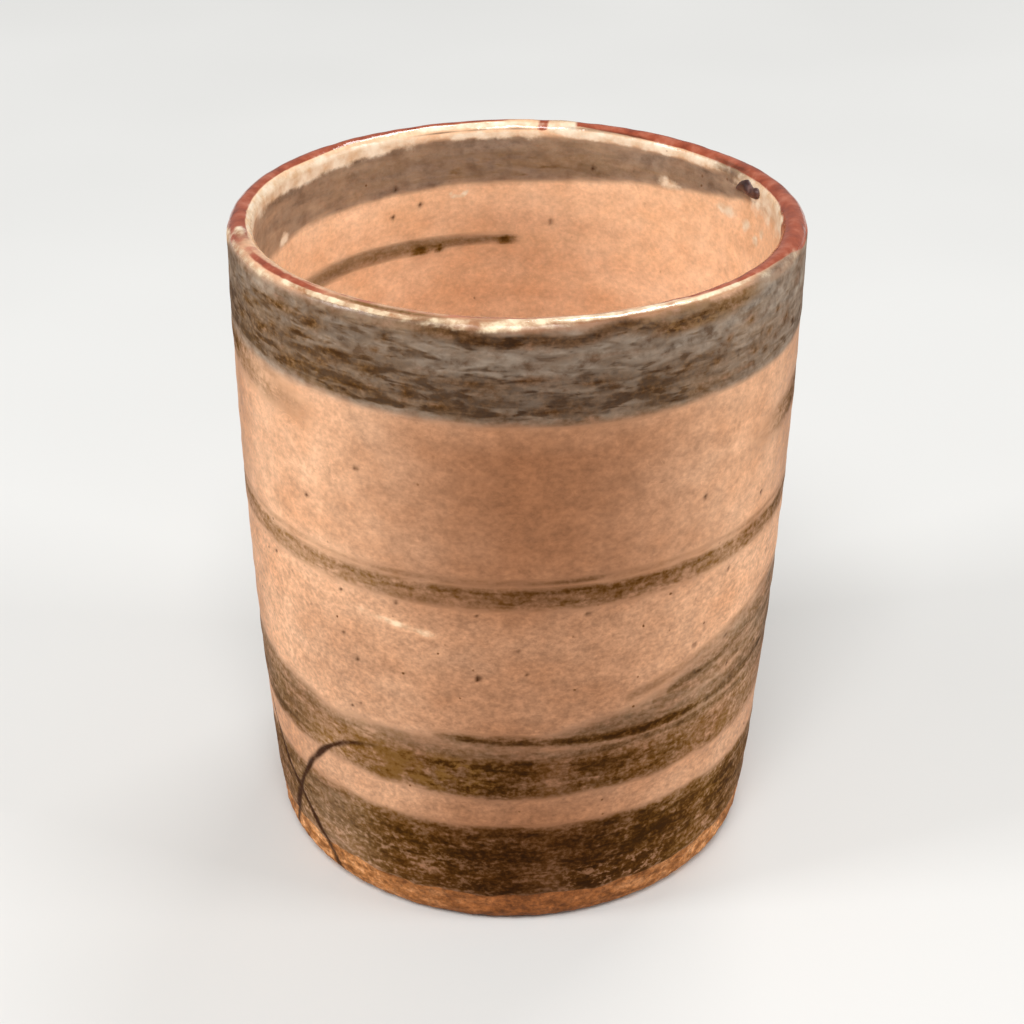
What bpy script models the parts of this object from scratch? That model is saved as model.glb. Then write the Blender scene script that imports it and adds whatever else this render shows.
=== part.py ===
"""A hand-thrown stoneware tea cup with a brushed iron decoration.

The clay body carries a glaze coat outside, a liner inside and an iron lip over its edge.  Bands of iron
slip lie let into the outer coat, flush with it, and shorter strokes lie on top of the glaze.
The axis is Z, the cup stands on z = 0, and its front faces -Y.  All sizes are in metres.
"""
import math

import bmesh
import bpy

# The finished cup
HEIGHT = 0.0900
RIM_RADIUS = 0.0370
BASE_RADIUS = 0.0341
BULGE = 0.00115
BASE_ROUND = 0.0027
LIP_THICKNESS = 0.0032
LOW_WALL_THICKNESS = 0.0046
FLOOR_THICKNESS = 0.0054
FLOOR_ROUND = 0.0120
FLOOR_DISH = 0.0008

# The trimmed foot
FOOT_WIDTH = 0.0050
FOOT_DEPTH = 0.0024
FOOT_SLOPE = 0.0010
BARE_CLAY_HEIGHT = 0.0020

# Glaze and slip layers
GLAZE = 0.0006
LAYER_GAP = 0.0001
SLIP_SHARE = 0.45
STROKE_THICKNESS = 0.0002
STROKE_END_SHARE = 0.35

# Brushed bands, from the foot upwards
BAND_MARGIN = 0.0004
BASE_BAND_WIDTH = 0.0120
PALE_WIDTH = 0.0057
LOWER_BAND_WIDTH = 0.0061
VEIL_WIDTH = 0.0026
VEIL_RISE = 0.0090
VEIL_BEARING = 95.0
WAIST_SHARE = 0.30
WAIST_BAND_WIDTH = 0.0028
WAIST_LINE_WIDTH = 0.0008
UPPER_BAND_WIDTH = 0.0098
WANDER = 0.00025

# Strokes that run only part of the way round; bearings are degrees from the front towards +X
SHOULDER_START = 52.0
SHOULDER_END = 316.0
SHOULDER_SPACE = 0.0012
SHOULDER_FALL = 0.0062
SHOULDER_WIDTH = 0.0030
INNER_BAND_END = 272.0
INNER_BAND_WIDTH = 0.0062
INNER_BAND_NARROWING = 0.0040
INNER_STROKE_START = 180.0
INNER_STROKE_END = 255.0
INNER_STROKE_SPACE = 0.0078
INNER_STROKE_WIDTH = 0.0024
DROP_BEARING = 113.0
DROP_SPAN = 12.0
DROP_CLEARANCE = 0.5
DROP_WIDTH = 0.0022
DROP_THICKNESS = 0.0007

# Facets
SEGMENTS = 48
WALL_ROWS = 6
ROUND_ROWS = 5
LIP_ROWS = 8
DROP_STEPS = 8
SMOOTH_ANGLE = math.radians(40)

# Heights that several layers share
FLOOR_HEIGHT = FOOT_DEPTH + FLOOR_THICKNESS
BARE_FOOT_HEIGHT = BASE_ROUND + BARE_CLAY_HEIGHT
LIP_LINE = HEIGHT - LIP_THICKNESS / 2
COAT_TOP = LIP_LINE - LAYER_GAP
COAT_BOTTOM = BARE_FOOT_HEIGHT + LAYER_GAP
SLIP_DEPTH = SLIP_SHARE * GLAZE
BAND_SPACE = BAND_MARGIN + 2 * LAYER_GAP
CLAY_INSET = GLAZE + LAYER_GAP
INNER_BAND_TOP = COAT_TOP - BAND_MARGIN
INNER_BAND_START = DROP_BEARING + DROP_SPAN / 2 + DROP_CLEARANCE


def wall_radius(height):
    """Finished outer radius: a straight taper with a slight swelling at mid-height."""
    share = height / HEIGHT
    return BASE_RADIUS + (RIM_RADIUS - BASE_RADIUS) * share + BULGE * 4 * share * (1 - share)


def bore_radius(height):
    """Finished inner radius: the wall thins evenly from the floor to the lip."""
    thickness = LIP_THICKNESS + (LOW_WALL_THICKNESS - LIP_THICKNESS) * (1 - height / LIP_LINE)
    return wall_radius(height) - thickness


def steps(start, end, count):
    """Evenly spaced values from start to end, both included."""
    return [start + (end - start) * index / count for index in range(count + 1)]


def arc(centre_radius, centre_height, radius, start, end, rows):
    """Points of a circular arc in the half-section; angles in degrees from the outward direction."""
    points = []
    for angle in steps(math.radians(start), math.radians(end), rows):
        points.append((centre_radius + radius * math.cos(angle), centre_height + radius * math.sin(angle)))
    return points


def bore_profile(inset, top):
    """Half-section of the hollow, from the floor's centre up to a height, moved into the wall by inset."""
    corner_height = FLOOR_HEIGHT + FLOOR_ROUND
    corner_radius = bore_radius(corner_height) - FLOOR_ROUND
    points = [(0.0, FLOOR_HEIGHT - FLOOR_DISH - inset)]
    points += arc(corner_radius, corner_height, FLOOR_ROUND + inset, -90, 0, ROUND_ROWS)
    for height in steps(corner_height, top, WALL_ROWS)[1:]:
        points.append((bore_radius(height) + inset, height))
    return points


def lip_arc(inset):
    """Half-round of the lip, from its inner side over the top to its outer side."""
    radius = LIP_THICKNESS / 2
    return arc(wall_radius(LIP_LINE) - radius, LIP_LINE, radius - inset, 180, 0, LIP_ROWS)


def bearing_point(radius, bearing, height):
    """A point at a bearing in degrees from the front (-Y) towards +X."""
    angle = math.radians(bearing)
    return (radius * math.sin(angle), -radius * math.cos(angle), height)


def facet_bearings(start, end):
    """Bearings of the facet edges that lie between start and end."""
    pitch = 360 / SEGMENTS
    first = math.ceil(start / pitch)
    last = math.floor(end / pitch)
    return [index * pitch for index in range(first, last + 1)]


def material(name, colour, roughness):
    """A plain ceramic finish; colour is linear red, green and blue."""
    finish = bpy.data.materials.new(name)
    finish.use_nodes = True
    shader = finish.node_tree.nodes["Principled BSDF"]
    shader.inputs["Base Color"].default_value = (*colour, 1.0)
    shader.inputs["Roughness"].default_value = roughness
    shader.inputs["Metallic"].default_value = 0.0
    return finish


def add_piece(name, shape, finish):
    """Close a bmesh into a named object, smooth on its round faces and crisp at its edges."""
    bmesh.ops.recalc_face_normals(shape, faces=shape.faces)
    mesh = bpy.data.meshes.new(name)
    shape.to_mesh(mesh)
    shape.free()
    mesh.shade_smooth()
    mesh.set_sharp_from_angle(angle=SMOOTH_ANGLE)
    mesh.materials.append(finish)
    piece = bpy.data.objects.new(name, mesh)
    bpy.context.scene.collection.objects.link(piece)
    return piece


def turn(name, profile, closed, finish):
    """Spin a half-section round the axis, as on the wheel."""
    shape = bmesh.new()
    corners = [shape.verts.new((radius, 0.0, height)) for radius, height in profile]
    for first, second in zip(corners, corners[1:]):
        shape.edges.new((first, second))
    if closed:
        shape.edges.new((corners[-1], corners[0]))
    bmesh.ops.spin(shape, geom=shape.verts[:] + shape.edges[:], cent=(0, 0, 0), axis=(0, 0, 1),
                   angle=math.tau, steps=SEGMENTS, use_merge=True)
    bmesh.ops.remove_doubles(shape, verts=shape.verts, dist=LAYER_GAP / 100)
    return add_piece(name, shape, finish)


def sweep(name, bearings, section, closed, finish):
    """Carry a section round the axis; section(bearing) lists its corners as (radius, height)."""
    shape = bmesh.new()
    loops = []
    for bearing in bearings:
        corners = [bearing_point(radius, bearing, height) for radius, height in section(bearing)]
        loops.append([shape.verts.new(corner) for corner in corners])
    count = len(loops[0])
    pairs = list(zip(loops, loops[1:]))
    if closed:
        pairs.append((loops[-1], loops[0]))
    else:
        shape.faces.new(loops[0])
        shape.faces.new(loops[-1])
    for first, second in pairs:
        for index in range(count):
            after = (index + 1) % count
            shape.faces.new((first[index], first[after], second[after], second[index]))
    return add_piece(name, shape, finish)


def swell(bearing, centre):
    """A smooth bump round the wall: 1 at the centre bearing and 0 on the far side."""
    return ((1 + math.cos(math.radians(bearing - centre))) / 2) ** 2


def wander(bearing):
    """How far a hand-held brush drifts up and down as the cup turns under it."""
    return WANDER * math.sin(2 * math.radians(bearing))


def base_band_edges(bearing):
    """The broad band just above the bare foot."""
    low = COAT_BOTTOM + BAND_MARGIN + LAYER_GAP
    return low, low + BASE_BAND_WIDTH + wander(bearing)


def lower_band_edges(bearing):
    """The dark band above the pale stripe."""
    low = base_band_edges(bearing)[1] + PALE_WIDTH
    return low, low + LOWER_BAND_WIDTH


def veil_edges(bearing):
    """The thin second sweep of the brush, which fans out upwards on the right-hand side."""
    low = lower_band_edges(bearing)[1] + BAND_SPACE
    return low, low + VEIL_WIDTH + VEIL_RISE * swell(bearing, VEIL_BEARING)


def upper_band_edges(bearing):
    """The broad band under the lip."""
    high = COAT_TOP - BAND_MARGIN - LAYER_GAP
    return high - UPPER_BAND_WIDTH + wander(bearing), high


def waist_band_edges(bearing):
    """The narrow band round the middle, part of the way from the veil's highest place to the upper band."""
    veil_top = veil_edges(VEIL_BEARING)[1]
    upper_foot = upper_band_edges(0.0)[0]
    low = veil_top + WAIST_SHARE * (upper_foot - veil_top) + wander(bearing)
    return low, low + WAIST_BAND_WIDTH


def waist_line_edges(bearing):
    """The hairline that one stray bristle left above the waist band."""
    low = waist_band_edges(bearing)[1] + BAND_SPACE
    return low, low + WAIST_LINE_WIDTH


# Bands let into the outer coat, from the lip down
COAT_BANDS = (
    ("upper_band", upper_band_edges, (0.115, 0.082, 0.058), 0.32),
    ("waist_line", waist_line_edges, (0.215, 0.115, 0.055), 0.42),
    ("waist_band", waist_band_edges, (0.150, 0.082, 0.038), 0.40),
    ("lower_veil", veil_edges, (0.165, 0.092, 0.048), 0.40),
    ("lower_band", lower_band_edges, (0.085, 0.044, 0.016), 0.38),
    ("base_band", base_band_edges, (0.078, 0.042, 0.019), 0.40),
)


def clay_section():
    """Half-section of the clay, from the floor's centre over the lip to the hollow under the foot."""
    points = bore_profile(CLAY_INSET, LIP_LINE)
    points += lip_arc(CLAY_INSET)[1:]
    for height in steps(LIP_LINE, BARE_FOOT_HEIGHT, WALL_ROWS)[1:]:
        points.append((wall_radius(height) - CLAY_INSET, height))
    points.append((wall_radius(BARE_FOOT_HEIGHT), BARE_FOOT_HEIGHT))
    foot_outer = wall_radius(BASE_ROUND) - BASE_ROUND
    points += arc(foot_outer, BASE_ROUND, BASE_ROUND, 0, -90, ROUND_ROWS)
    points.append((foot_outer - FOOT_WIDTH, 0.0))
    points.append((foot_outer - FOOT_WIDTH - FOOT_SLOPE, FOOT_DEPTH))
    points.append((0.0, FOOT_DEPTH))
    return points


def coat_section(bearing):
    """Section of the outer coat, stepping in at the channel that each band lies in."""
    corners = [(wall_radius(COAT_TOP), COAT_TOP)]
    for _, edges, _, _ in COAT_BANDS:
        low, high = edges(bearing)
        low -= LAYER_GAP
        high += LAYER_GAP
        depth = SLIP_DEPTH + LAYER_GAP
        corners.append((wall_radius(high), high))
        corners.append((wall_radius(high) - depth, high))
        corners.append((wall_radius(low) - depth, low))
        corners.append((wall_radius(low), low))
    corners.append((wall_radius(COAT_BOTTOM), COAT_BOTTOM))
    for height in steps(COAT_BOTTOM, COAT_TOP, WALL_ROWS):
        corners.append((wall_radius(height) - GLAZE, height))
    return corners


def band_section(edges):
    """Section of a band whose outer face lies flush with the coat."""
    def section(bearing):
        low, high = edges(bearing)
        return [(wall_radius(high), high), (wall_radius(high) - SLIP_DEPTH, high),
                (wall_radius(low) - SLIP_DEPTH, low), (wall_radius(low), low)]
    return section


def laid_on(surface, side, low, high, thickness):
    """Section of a stroke on a wall; side is 1 for the outside of the cup and -1 for the inside."""
    facet_loss = math.cos(math.pi / SEGMENTS) if side < 0 else 1.0
    middle = (low + high) / 2
    corners = []
    for height, lift in ((high, 0.0), (low, 0.0), (low, 0.5), (middle, 1.0), (high, 0.5)):
        corners.append((surface(height) * facet_loss + side * (LAYER_GAP + thickness * lift), height))
    return corners


def taper(bearing, start, end):
    """Share of its full width that a stroke has at a bearing: the brush lands, spreads and lifts."""
    share = (bearing - start) / (end - start)
    return STROKE_END_SHARE + (1 - STROKE_END_SHARE) * math.sin(math.pi * share)


def shoulder_section(bearing):
    """The stroke that falls across the back, laid on the outer coat under the upper band."""
    share = (bearing - SHOULDER_START) / (SHOULDER_END - SHOULDER_START)
    top_limit = upper_band_edges(0.0)[0] - WANDER - SHOULDER_SPACE
    middle = top_limit - SHOULDER_WIDTH / 2 - SHOULDER_FALL * (1 - share)
    half = SHOULDER_WIDTH / 2 * taper(bearing, SHOULDER_START, SHOULDER_END)
    return laid_on(wall_radius, 1, middle - half, middle + half, STROKE_THICKNESS)


def inner_band_section(bearing):
    """The band inside, under the lip, which narrows towards its end on the right."""
    share = (bearing - INNER_BAND_START) / (INNER_BAND_END - INNER_BAND_START)
    narrowing = INNER_BAND_NARROWING * (1 - min(1.0, 2 * share)) ** 2
    low = INNER_BAND_TOP - INNER_BAND_WIDTH + narrowing
    return laid_on(bore_radius, -1, low, INNER_BAND_TOP, STROKE_THICKNESS)


def inner_stroke_section(bearing):
    """The single short stroke lower down on the inner wall."""
    high = INNER_BAND_TOP - INNER_BAND_WIDTH - INNER_STROKE_SPACE
    middle = high - INNER_STROKE_WIDTH / 2
    half = INNER_STROKE_WIDTH / 2 * taper(bearing, INNER_STROKE_START, INNER_STROKE_END)
    return laid_on(bore_radius, -1, middle - half, middle + half, STROKE_THICKNESS)


def drop_section(bearing):
    """The thick drop of slip where the inner band was begun: a lens that stands off the wall."""
    share = (bearing - DROP_BEARING) / (DROP_SPAN / 2)
    fullness = STROKE_END_SHARE + (1 - STROKE_END_SHARE) * math.sqrt(max(0.0, 1 - share * share))
    middle = INNER_BAND_TOP - DROP_WIDTH / 2
    half = DROP_WIDTH / 2 * fullness
    return laid_on(bore_radius, -1, middle - half, middle + half, DROP_THICKNESS * fullness)


def build():
    """Make every layer of the cup."""
    clay = material("bare stoneware clay", (0.42, 0.155, 0.055), 0.80)
    pale_glaze = material("pale feldspar glaze", (0.52, 0.275, 0.150), 0.35)
    lip_iron = material("red iron lip glaze", (0.235, 0.060, 0.030), 0.22)
    slip = material("brushed iron slip", (0.120, 0.075, 0.045), 0.38)
    drop_slip = material("pooled iron slip", (0.030, 0.017, 0.014), 0.25)
    all_round = facet_bearings(0.0, 360.0)[:-1]

    turn("clay_body", clay_section(), False, clay)
    sweep("outer_glaze", all_round, coat_section, True, pale_glaze)
    liner_section = bore_profile(0.0, COAT_TOP) + bore_profile(GLAZE, COAT_TOP)[::-1]
    turn("inner_glaze", liner_section, False, pale_glaze)
    turn("lip_glaze", lip_arc(0.0) + lip_arc(GLAZE)[::-1], True, lip_iron)

    for name, edges, colour, roughness in COAT_BANDS:
        sweep(name, all_round, band_section(edges), True, material(name + " slip", colour, roughness))

    shoulder = facet_bearings(SHOULDER_START, SHOULDER_END)
    sweep("shoulder_stroke", shoulder, shoulder_section, False, slip)
    inner_sweep = facet_bearings(INNER_BAND_START, INNER_BAND_END)
    sweep("inner_band", inner_sweep, inner_band_section, False, slip)
    short_sweep = facet_bearings(INNER_STROKE_START, INNER_STROKE_END)
    sweep("inner_stroke", short_sweep, inner_stroke_section, False, slip)
    drop = steps(DROP_BEARING - DROP_SPAN / 2, DROP_BEARING + DROP_SPAN / 2, DROP_STEPS)
    sweep("slip_drop", drop, drop_section, False, drop_slip)


for leftover in list(bpy.data.objects):
    bpy.data.objects.remove(leftover, do_unlink=True)
build()
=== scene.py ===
# %% [markdown]
# # A hand-thrown tea cup
# The object is a stoneware tea cup without a handle. A potter threw its wall on a wheel, trimmed the
# foot, dipped the cup in a pale feldspar glaze and brushed bands of iron slip on it while it turned.
# The CAD frame holds the true sizes as plain solids. This lesson lays the finished surface over them:
# throwing rings, brush strokes, cracks, and the colours that the fire gave to each layer.

# %% Load the fixed frame
import math

import bpy
import numpy as np
from mathutils import Matrix, Vector


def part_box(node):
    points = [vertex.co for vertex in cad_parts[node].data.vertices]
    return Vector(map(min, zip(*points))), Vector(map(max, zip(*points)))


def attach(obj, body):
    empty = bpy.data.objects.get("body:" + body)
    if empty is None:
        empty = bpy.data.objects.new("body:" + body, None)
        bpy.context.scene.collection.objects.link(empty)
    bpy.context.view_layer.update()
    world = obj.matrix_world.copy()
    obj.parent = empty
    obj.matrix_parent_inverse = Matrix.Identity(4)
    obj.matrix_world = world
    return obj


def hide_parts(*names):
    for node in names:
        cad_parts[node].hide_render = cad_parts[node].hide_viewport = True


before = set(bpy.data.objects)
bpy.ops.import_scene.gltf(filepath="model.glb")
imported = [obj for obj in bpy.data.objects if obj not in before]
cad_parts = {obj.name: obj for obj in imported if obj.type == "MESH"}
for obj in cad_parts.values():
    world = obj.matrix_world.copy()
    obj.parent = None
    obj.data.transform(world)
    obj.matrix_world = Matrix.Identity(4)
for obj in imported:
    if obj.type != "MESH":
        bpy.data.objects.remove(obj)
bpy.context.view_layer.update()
print("CAD nodes:", ", ".join(sorted(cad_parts)))

# %% [markdown]
# ## Sizes
# Every height comes from the frame, so the painted bands land where the CAD bands are. Lengths are
# kept in millimetres, a potter's unit, and turned to metres only when a mesh is made. A place on the
# wall is named by its bearing, in degrees from the front towards the right, and its height.

# %% Heights in millimetres, read from the frame
MM = 0.001


def node_heights(node):
    """Lowest and highest point of a CAD node, in mm above the table."""
    low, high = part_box(node)
    return low.z / MM, high.z / MM


LIP_LINE, HEIGHT = node_heights("lip_glaze")
COAT_FOOT = node_heights("outer_glaze")[0]
BASE_BAND = node_heights("base_band")
LOWER_BAND = node_heights("lower_band")
WAIST_BAND = node_heights("waist_band")
WAIST_LINE = node_heights("waist_line")
UPPER_BAND = node_heights("upper_band")
print(f"height {HEIGHT:.1f} mm, lip from {LIP_LINE:.1f} mm, glaze from {COAT_FOOT:.1f} mm")

# %% [markdown]
# ## Camera
# The photograph looks down on the cup from a little over a quarter of a metre. A camera can be placed
# by eye, but the ellipse of the lip and the curve of the base fix it: their shapes give the tilt and
# the distance, and so this camera follows those. Its roll is a fraction of a degree.

# %% Place the camera
PHOTO_PIXELS = 1024
FOCAL_PIXELS = 1878
SENSOR = 36.0
CAMERA_DISTANCE = 263.0
CAMERA_TILT = math.radians(29.61)
CAMERA_ROLL = math.radians(-0.20)
CAMERA_AIM = Vector((-0.26, 0.0, 44.94))

forward = Vector((0.0, math.cos(CAMERA_TILT), -math.sin(CAMERA_TILT)))
level = Vector((1.0, 0.0, 0.0))
upright = level.cross(forward)
right = math.cos(CAMERA_ROLL) * level + math.sin(CAMERA_ROLL) * upright
above = right.cross(forward)
eye = (CAMERA_AIM - CAMERA_DISTANCE * forward) * MM

camera_lens = bpy.data.cameras.new("camera")
camera_lens.sensor_width = SENSOR
camera_lens.lens = SENSOR * FOCAL_PIXELS / PHOTO_PIXELS
camera_lens.clip_start = 10 * MM
camera = bpy.data.objects.new("camera", camera_lens)
camera.matrix_world = Matrix.Translation(eye) @ Matrix((right, above, -forward)).transposed().to_4x4()
bpy.context.scene.collection.objects.link(camera)
bpy.context.scene.camera = camera
bpy.context.scene.view_settings.view_transform = "Standard"
print("camera at", [round(part / MM, 1) for part in eye], "mm, lens", round(camera_lens.lens, 1), "mm")

# %% [markdown]
# ## Light
# The wet shine on the lip is the mirror image of the lamps, so it tells where they stand: left, right,
# above the camera, and behind on the right. They could be small and hard, but soft lamps of half a
# metre to a metre give the gentle shadow that the photograph has. With the even light of the room they
# add up to a plain level, at which a colour comes out about as it is written.

# %% Soft lamps and room light
LAMP_DISTANCE = 1800.0
LAMPS = (  # name, bearing, angle above the table, width, height, watts
    ("lamp_left", -74, 28, 420, 760, 12.1),
    ("lamp_right", 76, 26, 560, 900, 11.1),
    ("lamp_above", -6, 56, 920, 600, 20.8),
    ("lamp_behind", 150, 60, 700, 400, 8.4),
)
ROOM_LIGHT = 0.28
ROOM_COLOUR = (1.0, 0.985, 0.965, 1.0)


def softbox(name, bearing_deg, height_deg, width, tall, watts):
    """A rectangular lamp that faces the cup from a bearing and an angle above the table; sizes in mm."""
    turn_angle = math.radians(bearing_deg)
    rise = math.radians(height_deg)
    away = Vector((math.sin(turn_angle) * math.cos(rise), -math.cos(turn_angle) * math.cos(rise),
                   math.sin(rise)))
    data = bpy.data.lights.new(name, "AREA")
    data.shape = "RECTANGLE"
    data.size = width * MM
    data.size_y = tall * MM
    data.energy = watts
    lamp = bpy.data.objects.new(name, data)
    lamp.location = away * LAMP_DISTANCE * MM + Vector((0.0, 0.0, HEIGHT / 2 * MM))
    lamp.rotation_euler = away.to_track_quat("Z", "Y").to_euler()
    bpy.context.scene.collection.objects.link(lamp)


for lamp_row in LAMPS:
    softbox(*lamp_row)

world = bpy.data.worlds.new("room")
world.use_nodes = True
room = world.node_tree.nodes["Background"].inputs
room["Color"].default_value = ROOM_COLOUR
room["Strength"].default_value = ROOM_LIGHT
bpy.context.scene.world = world
print("lamps:", [item.name for item in bpy.data.lights])

# %% [markdown]
# ## The surface as one sheet
# The glazed surface is a single sheet that starts at the bare foot, climbs the wall, bends over the
# lip, goes down inside and ends in the middle of the floor. It could be spun from a profile, but a
# sheet of numbers is more use here: row by column, each point knows its bearing and how far along the
# profile it lies, so every mark of the hand can be written as a formula in those two numbers.

# %% The profile of the finished wall
BASE_RADIUS = 34.1
RIM_RADIUS = 37.0
SWELL = 1.15
LOW_WALL = 4.6
FLOOR_HEIGHT = 7.8
FLOOR_ROUND = 12.0
FLOOR_DISH = 0.8
LIP_HALF = HEIGHT - LIP_LINE


def wall_radius(height):
    """Outer radius: a straight taper from the foot to the rim, plus a parabola that swells half-way."""
    share = height / HEIGHT
    return BASE_RADIUS + (RIM_RADIUS - BASE_RADIUS) * share + SWELL * 4 * share * (1 - share)


def bore_radius(height):
    """Inner radius: the outer one less a wall that thins evenly from the table to the lip line."""
    return wall_radius(height) - 2 * LIP_HALF - (LOW_WALL - 2 * LIP_HALF) * (1 - height / LIP_LINE)


CORNER_HEIGHT = FLOOR_HEIGHT + FLOOR_ROUND
CORNER_RADIUS = bore_radius(CORNER_HEIGHT) - FLOOR_ROUND
print(f"radius at the lip {wall_radius(LIP_LINE):.2f} mm, inside {bore_radius(LIP_LINE):.2f} mm")

# %% Columns round the cup, and helpers that work on whole rows
AROUND = 448
bearing = np.linspace(-180.0, 180.0, AROUND, endpoint=False)
turn = np.radians(bearing)


def ease(start, end, value):
    """0 before start and 1 after end, with a smooth S between them; start may be the larger."""
    share = np.clip((value - start) / (end - start), 0.0, 1.0)
    return share * share * (3 - 2 * share)


def between(low, high, fade, value):
    """1 from low to high, easing to 0 over a fade that is centred on each edge."""
    return ease(low - fade, low + fade, value) * ease(high + fade, high - fade, value)


def apart(centre):
    """Degrees from one bearing to every column, the short way round."""
    return (bearing - centre + 180.0) % 360.0 - 180.0


def around(start, end, fade):
    """1 between two bearings, easing to 0 over a fade that is centred on each of them."""
    half = (end - start) / 2
    return ease(half + fade, half - fade, np.abs(apart((start + end) / 2)))


def along(*marks):
    """Values at a few (bearing, value) marks, joined by straight lines round the cup."""
    places, values = zip(*sorted(marks))
    return np.interp(bearing, places, values, period=360.0)


def ragged(seed, *waves):
    """An uneven edge, about -1 to 1: a sum of sines that fit whole numbers of times round the cup."""
    phases = np.random.default_rng(seed).uniform(0, 2 * np.pi, len(waves))
    edge = sum(np.sin(count * turn + phase) for count, phase in zip(waves, phases))
    return edge / math.sqrt(len(waves))


FOOT_LIFT = 0.35
FOOT_WAVER = 0.28
foot_line = COAT_FOOT + FOOT_LIFT + FOOT_WAVER * ragged(1, 3, 5, 9, 16, 27, 41)
print(f"the glaze ends {foot_line.min():.1f} to {foot_line.max():.1f} mm above the table")

# %% Rows from the bare foot over the lip to the middle of the floor
OUTER_ROWS = 205
LIP_ROWS = 20
WALL_ROWS = 122
CORNER_ROWS = 34
FLOOR_ROWS = 36
POLE_GAP = 0.4


def profile_piece(radius, height, length):
    """One stretch of the profile as rows of (radius, height, length along the profile)."""
    return np.stack(np.broadcast_arrays(radius, height, length, turn)[:3], axis=-1)


share = np.linspace(0, 1, OUTER_ROWS + 1)[:, None]
outer_height = foot_line + (LIP_LINE - foot_line) * share
outer_rows = profile_piece(wall_radius(outer_height), outer_height, outer_height)

lip_angle = np.linspace(0, np.pi, LIP_ROWS + 1)[1:, None]
lip_rows = profile_piece(wall_radius(LIP_LINE) - LIP_HALF + LIP_HALF * np.cos(lip_angle),
                         LIP_LINE + LIP_HALF * np.sin(lip_angle), LIP_LINE + LIP_HALF * lip_angle)

INNER_START = LIP_LINE + LIP_HALF * math.pi


def down_inside(height):
    """Length along the profile at which the inner wall has this height."""
    return INNER_START + LIP_LINE - height


inner_height = np.linspace(LIP_LINE, CORNER_HEIGHT, WALL_ROWS + 1)[1:, None]
wall_rows = profile_piece(bore_radius(inner_height), inner_height, down_inside(inner_height))

CORNER_START = down_inside(CORNER_HEIGHT)
corner_angle = np.linspace(0, np.pi / 2, CORNER_ROWS + 1)[1:, None]
corner_rows = profile_piece(CORNER_RADIUS + FLOOR_ROUND * np.cos(corner_angle),
                            CORNER_HEIGHT - FLOOR_ROUND * np.sin(corner_angle),
                            CORNER_START + FLOOR_ROUND * corner_angle)

FLOOR_START = CORNER_START + FLOOR_ROUND * math.pi / 2
floor_radius = np.linspace(CORNER_RADIUS, POLE_GAP, FLOOR_ROWS + 1)[1:, None]
floor_rows = profile_piece(floor_radius,
                           FLOOR_HEIGHT - FLOOR_DISH * (1 - (floor_radius / CORNER_RADIUS) ** 2),
                           FLOOR_START + CORNER_RADIUS - floor_radius)

sheet = np.concatenate([outer_rows, lip_rows, wall_rows, corner_rows, floor_rows])
path = sheet[..., 2]
depth = path - INNER_START
over = np.degrees((path - LIP_LINE) / LIP_HALF)
outside = ease(120.0, 60.0, over)
inside = 1 - outside
print("sheet of", sheet.shape[0], "rows by", AROUND, "columns")

# %% [markdown]
# ## Brush strokes
# Iron slip is clay stained with iron, thin as cream. Where the brush left much of it the fire turned
# it nearly black, and where it left little the pale glaze shines through. An image could carry the
# strokes, but a few numbers per stroke do it better: each stroke adds its load of slip to the sheet,
# and the finish later turns the load into colour. Bands run all round, so their unseen half is there.

# %% Start with no slip anywhere
# load is how much slip lies there, fleck how gritty it is, grey how milky the glass over it is, and ochre
# where it turned golden; iron, cream and stain are marks on the lip, crusts with painted highlights, and
# cracks; blush is toasting with painted shade.
MASKS = ("load", "fleck", "grey", "ochre", "iron", "cream_and_glint", "stain", "blush_and_shade")
paint = {mask: np.zeros(path.shape) for mask in MASKS}
paint["inside"] = inside
wet_from = along((-60, 22), (-22, 24), (-8, 42), (46, 46), (72, 30), (180, 24))
paint["wet"] = between(wet_from, 156, 22, over)
print("masks:", ", ".join(paint))

# %% Lay marks on the sheet and thin them out


def lay(mask, amount):
    """Lay one more mark on a mask: the stronger of the old mark and the new one stays."""
    paint[mask] = np.maximum(paint[mask], amount)


def thin_out(mask, amount):
    """Wipe a mask thinner: what stays is the old mark times one less the amount."""
    paint[mask] = paint[mask] * (1 - amount)


def lay_patches(where, *patches):
    """Lay soft-edged patches: mask, strength, then low, high, fade along where, then two bearings, fade."""
    for mask, strength, start, end, fade, left, right, round_fade in patches:
        lay(mask, strength * between(start, end, fade, where) * around(left, right, round_fade))


print("empty masks:", sum(not paint[mask].any() for mask in MASKS), "of", len(MASKS))

# %% Spots and drawn lines
MEAN_RADIUS = 36.0


def spot(at, length, wide, tall):
    """A soft oval mark: 1 in its middle, falling off as a bell curve; sizes in mm on the wall."""
    across = np.radians(apart(at)) * MEAN_RADIUS
    return np.exp(-(across / wide) ** 2 - ((path - length) / tall) ** 2)


def distance_to(*marks, length=path):
    """Distance in mm, on the wall, from a line through (bearing, length along the profile) marks."""
    middle_bearing = (marks[0][0] + marks[-1][0]) / 2
    across = np.radians(apart(middle_bearing)) * MEAN_RADIUS
    nearest = np.full(length.shape, np.inf)
    for (bearing_a, length_a), (bearing_b, length_b) in zip(marks, marks[1:]):
        start_x = math.radians(bearing_a - middle_bearing) * MEAN_RADIUS
        step_x = math.radians(bearing_b - bearing_a) * MEAN_RADIUS
        step_y = length_b - length_a
        share_on = (across - start_x) * step_x + (length - length_a) * step_y
        share_on = np.clip(share_on / (step_x ** 2 + step_y ** 2), 0, 1)
        gap = np.hypot(across - start_x - share_on * step_x, length - length_a - share_on * step_y)
        nearest = np.minimum(nearest, gap)
    return nearest


def drawn(reach, core, *marks):
    """A drawn line: 1 within core mm of a line through the marks, easing to 0 at reach mm."""
    return ease(reach, core, distance_to(*marks))


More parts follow.
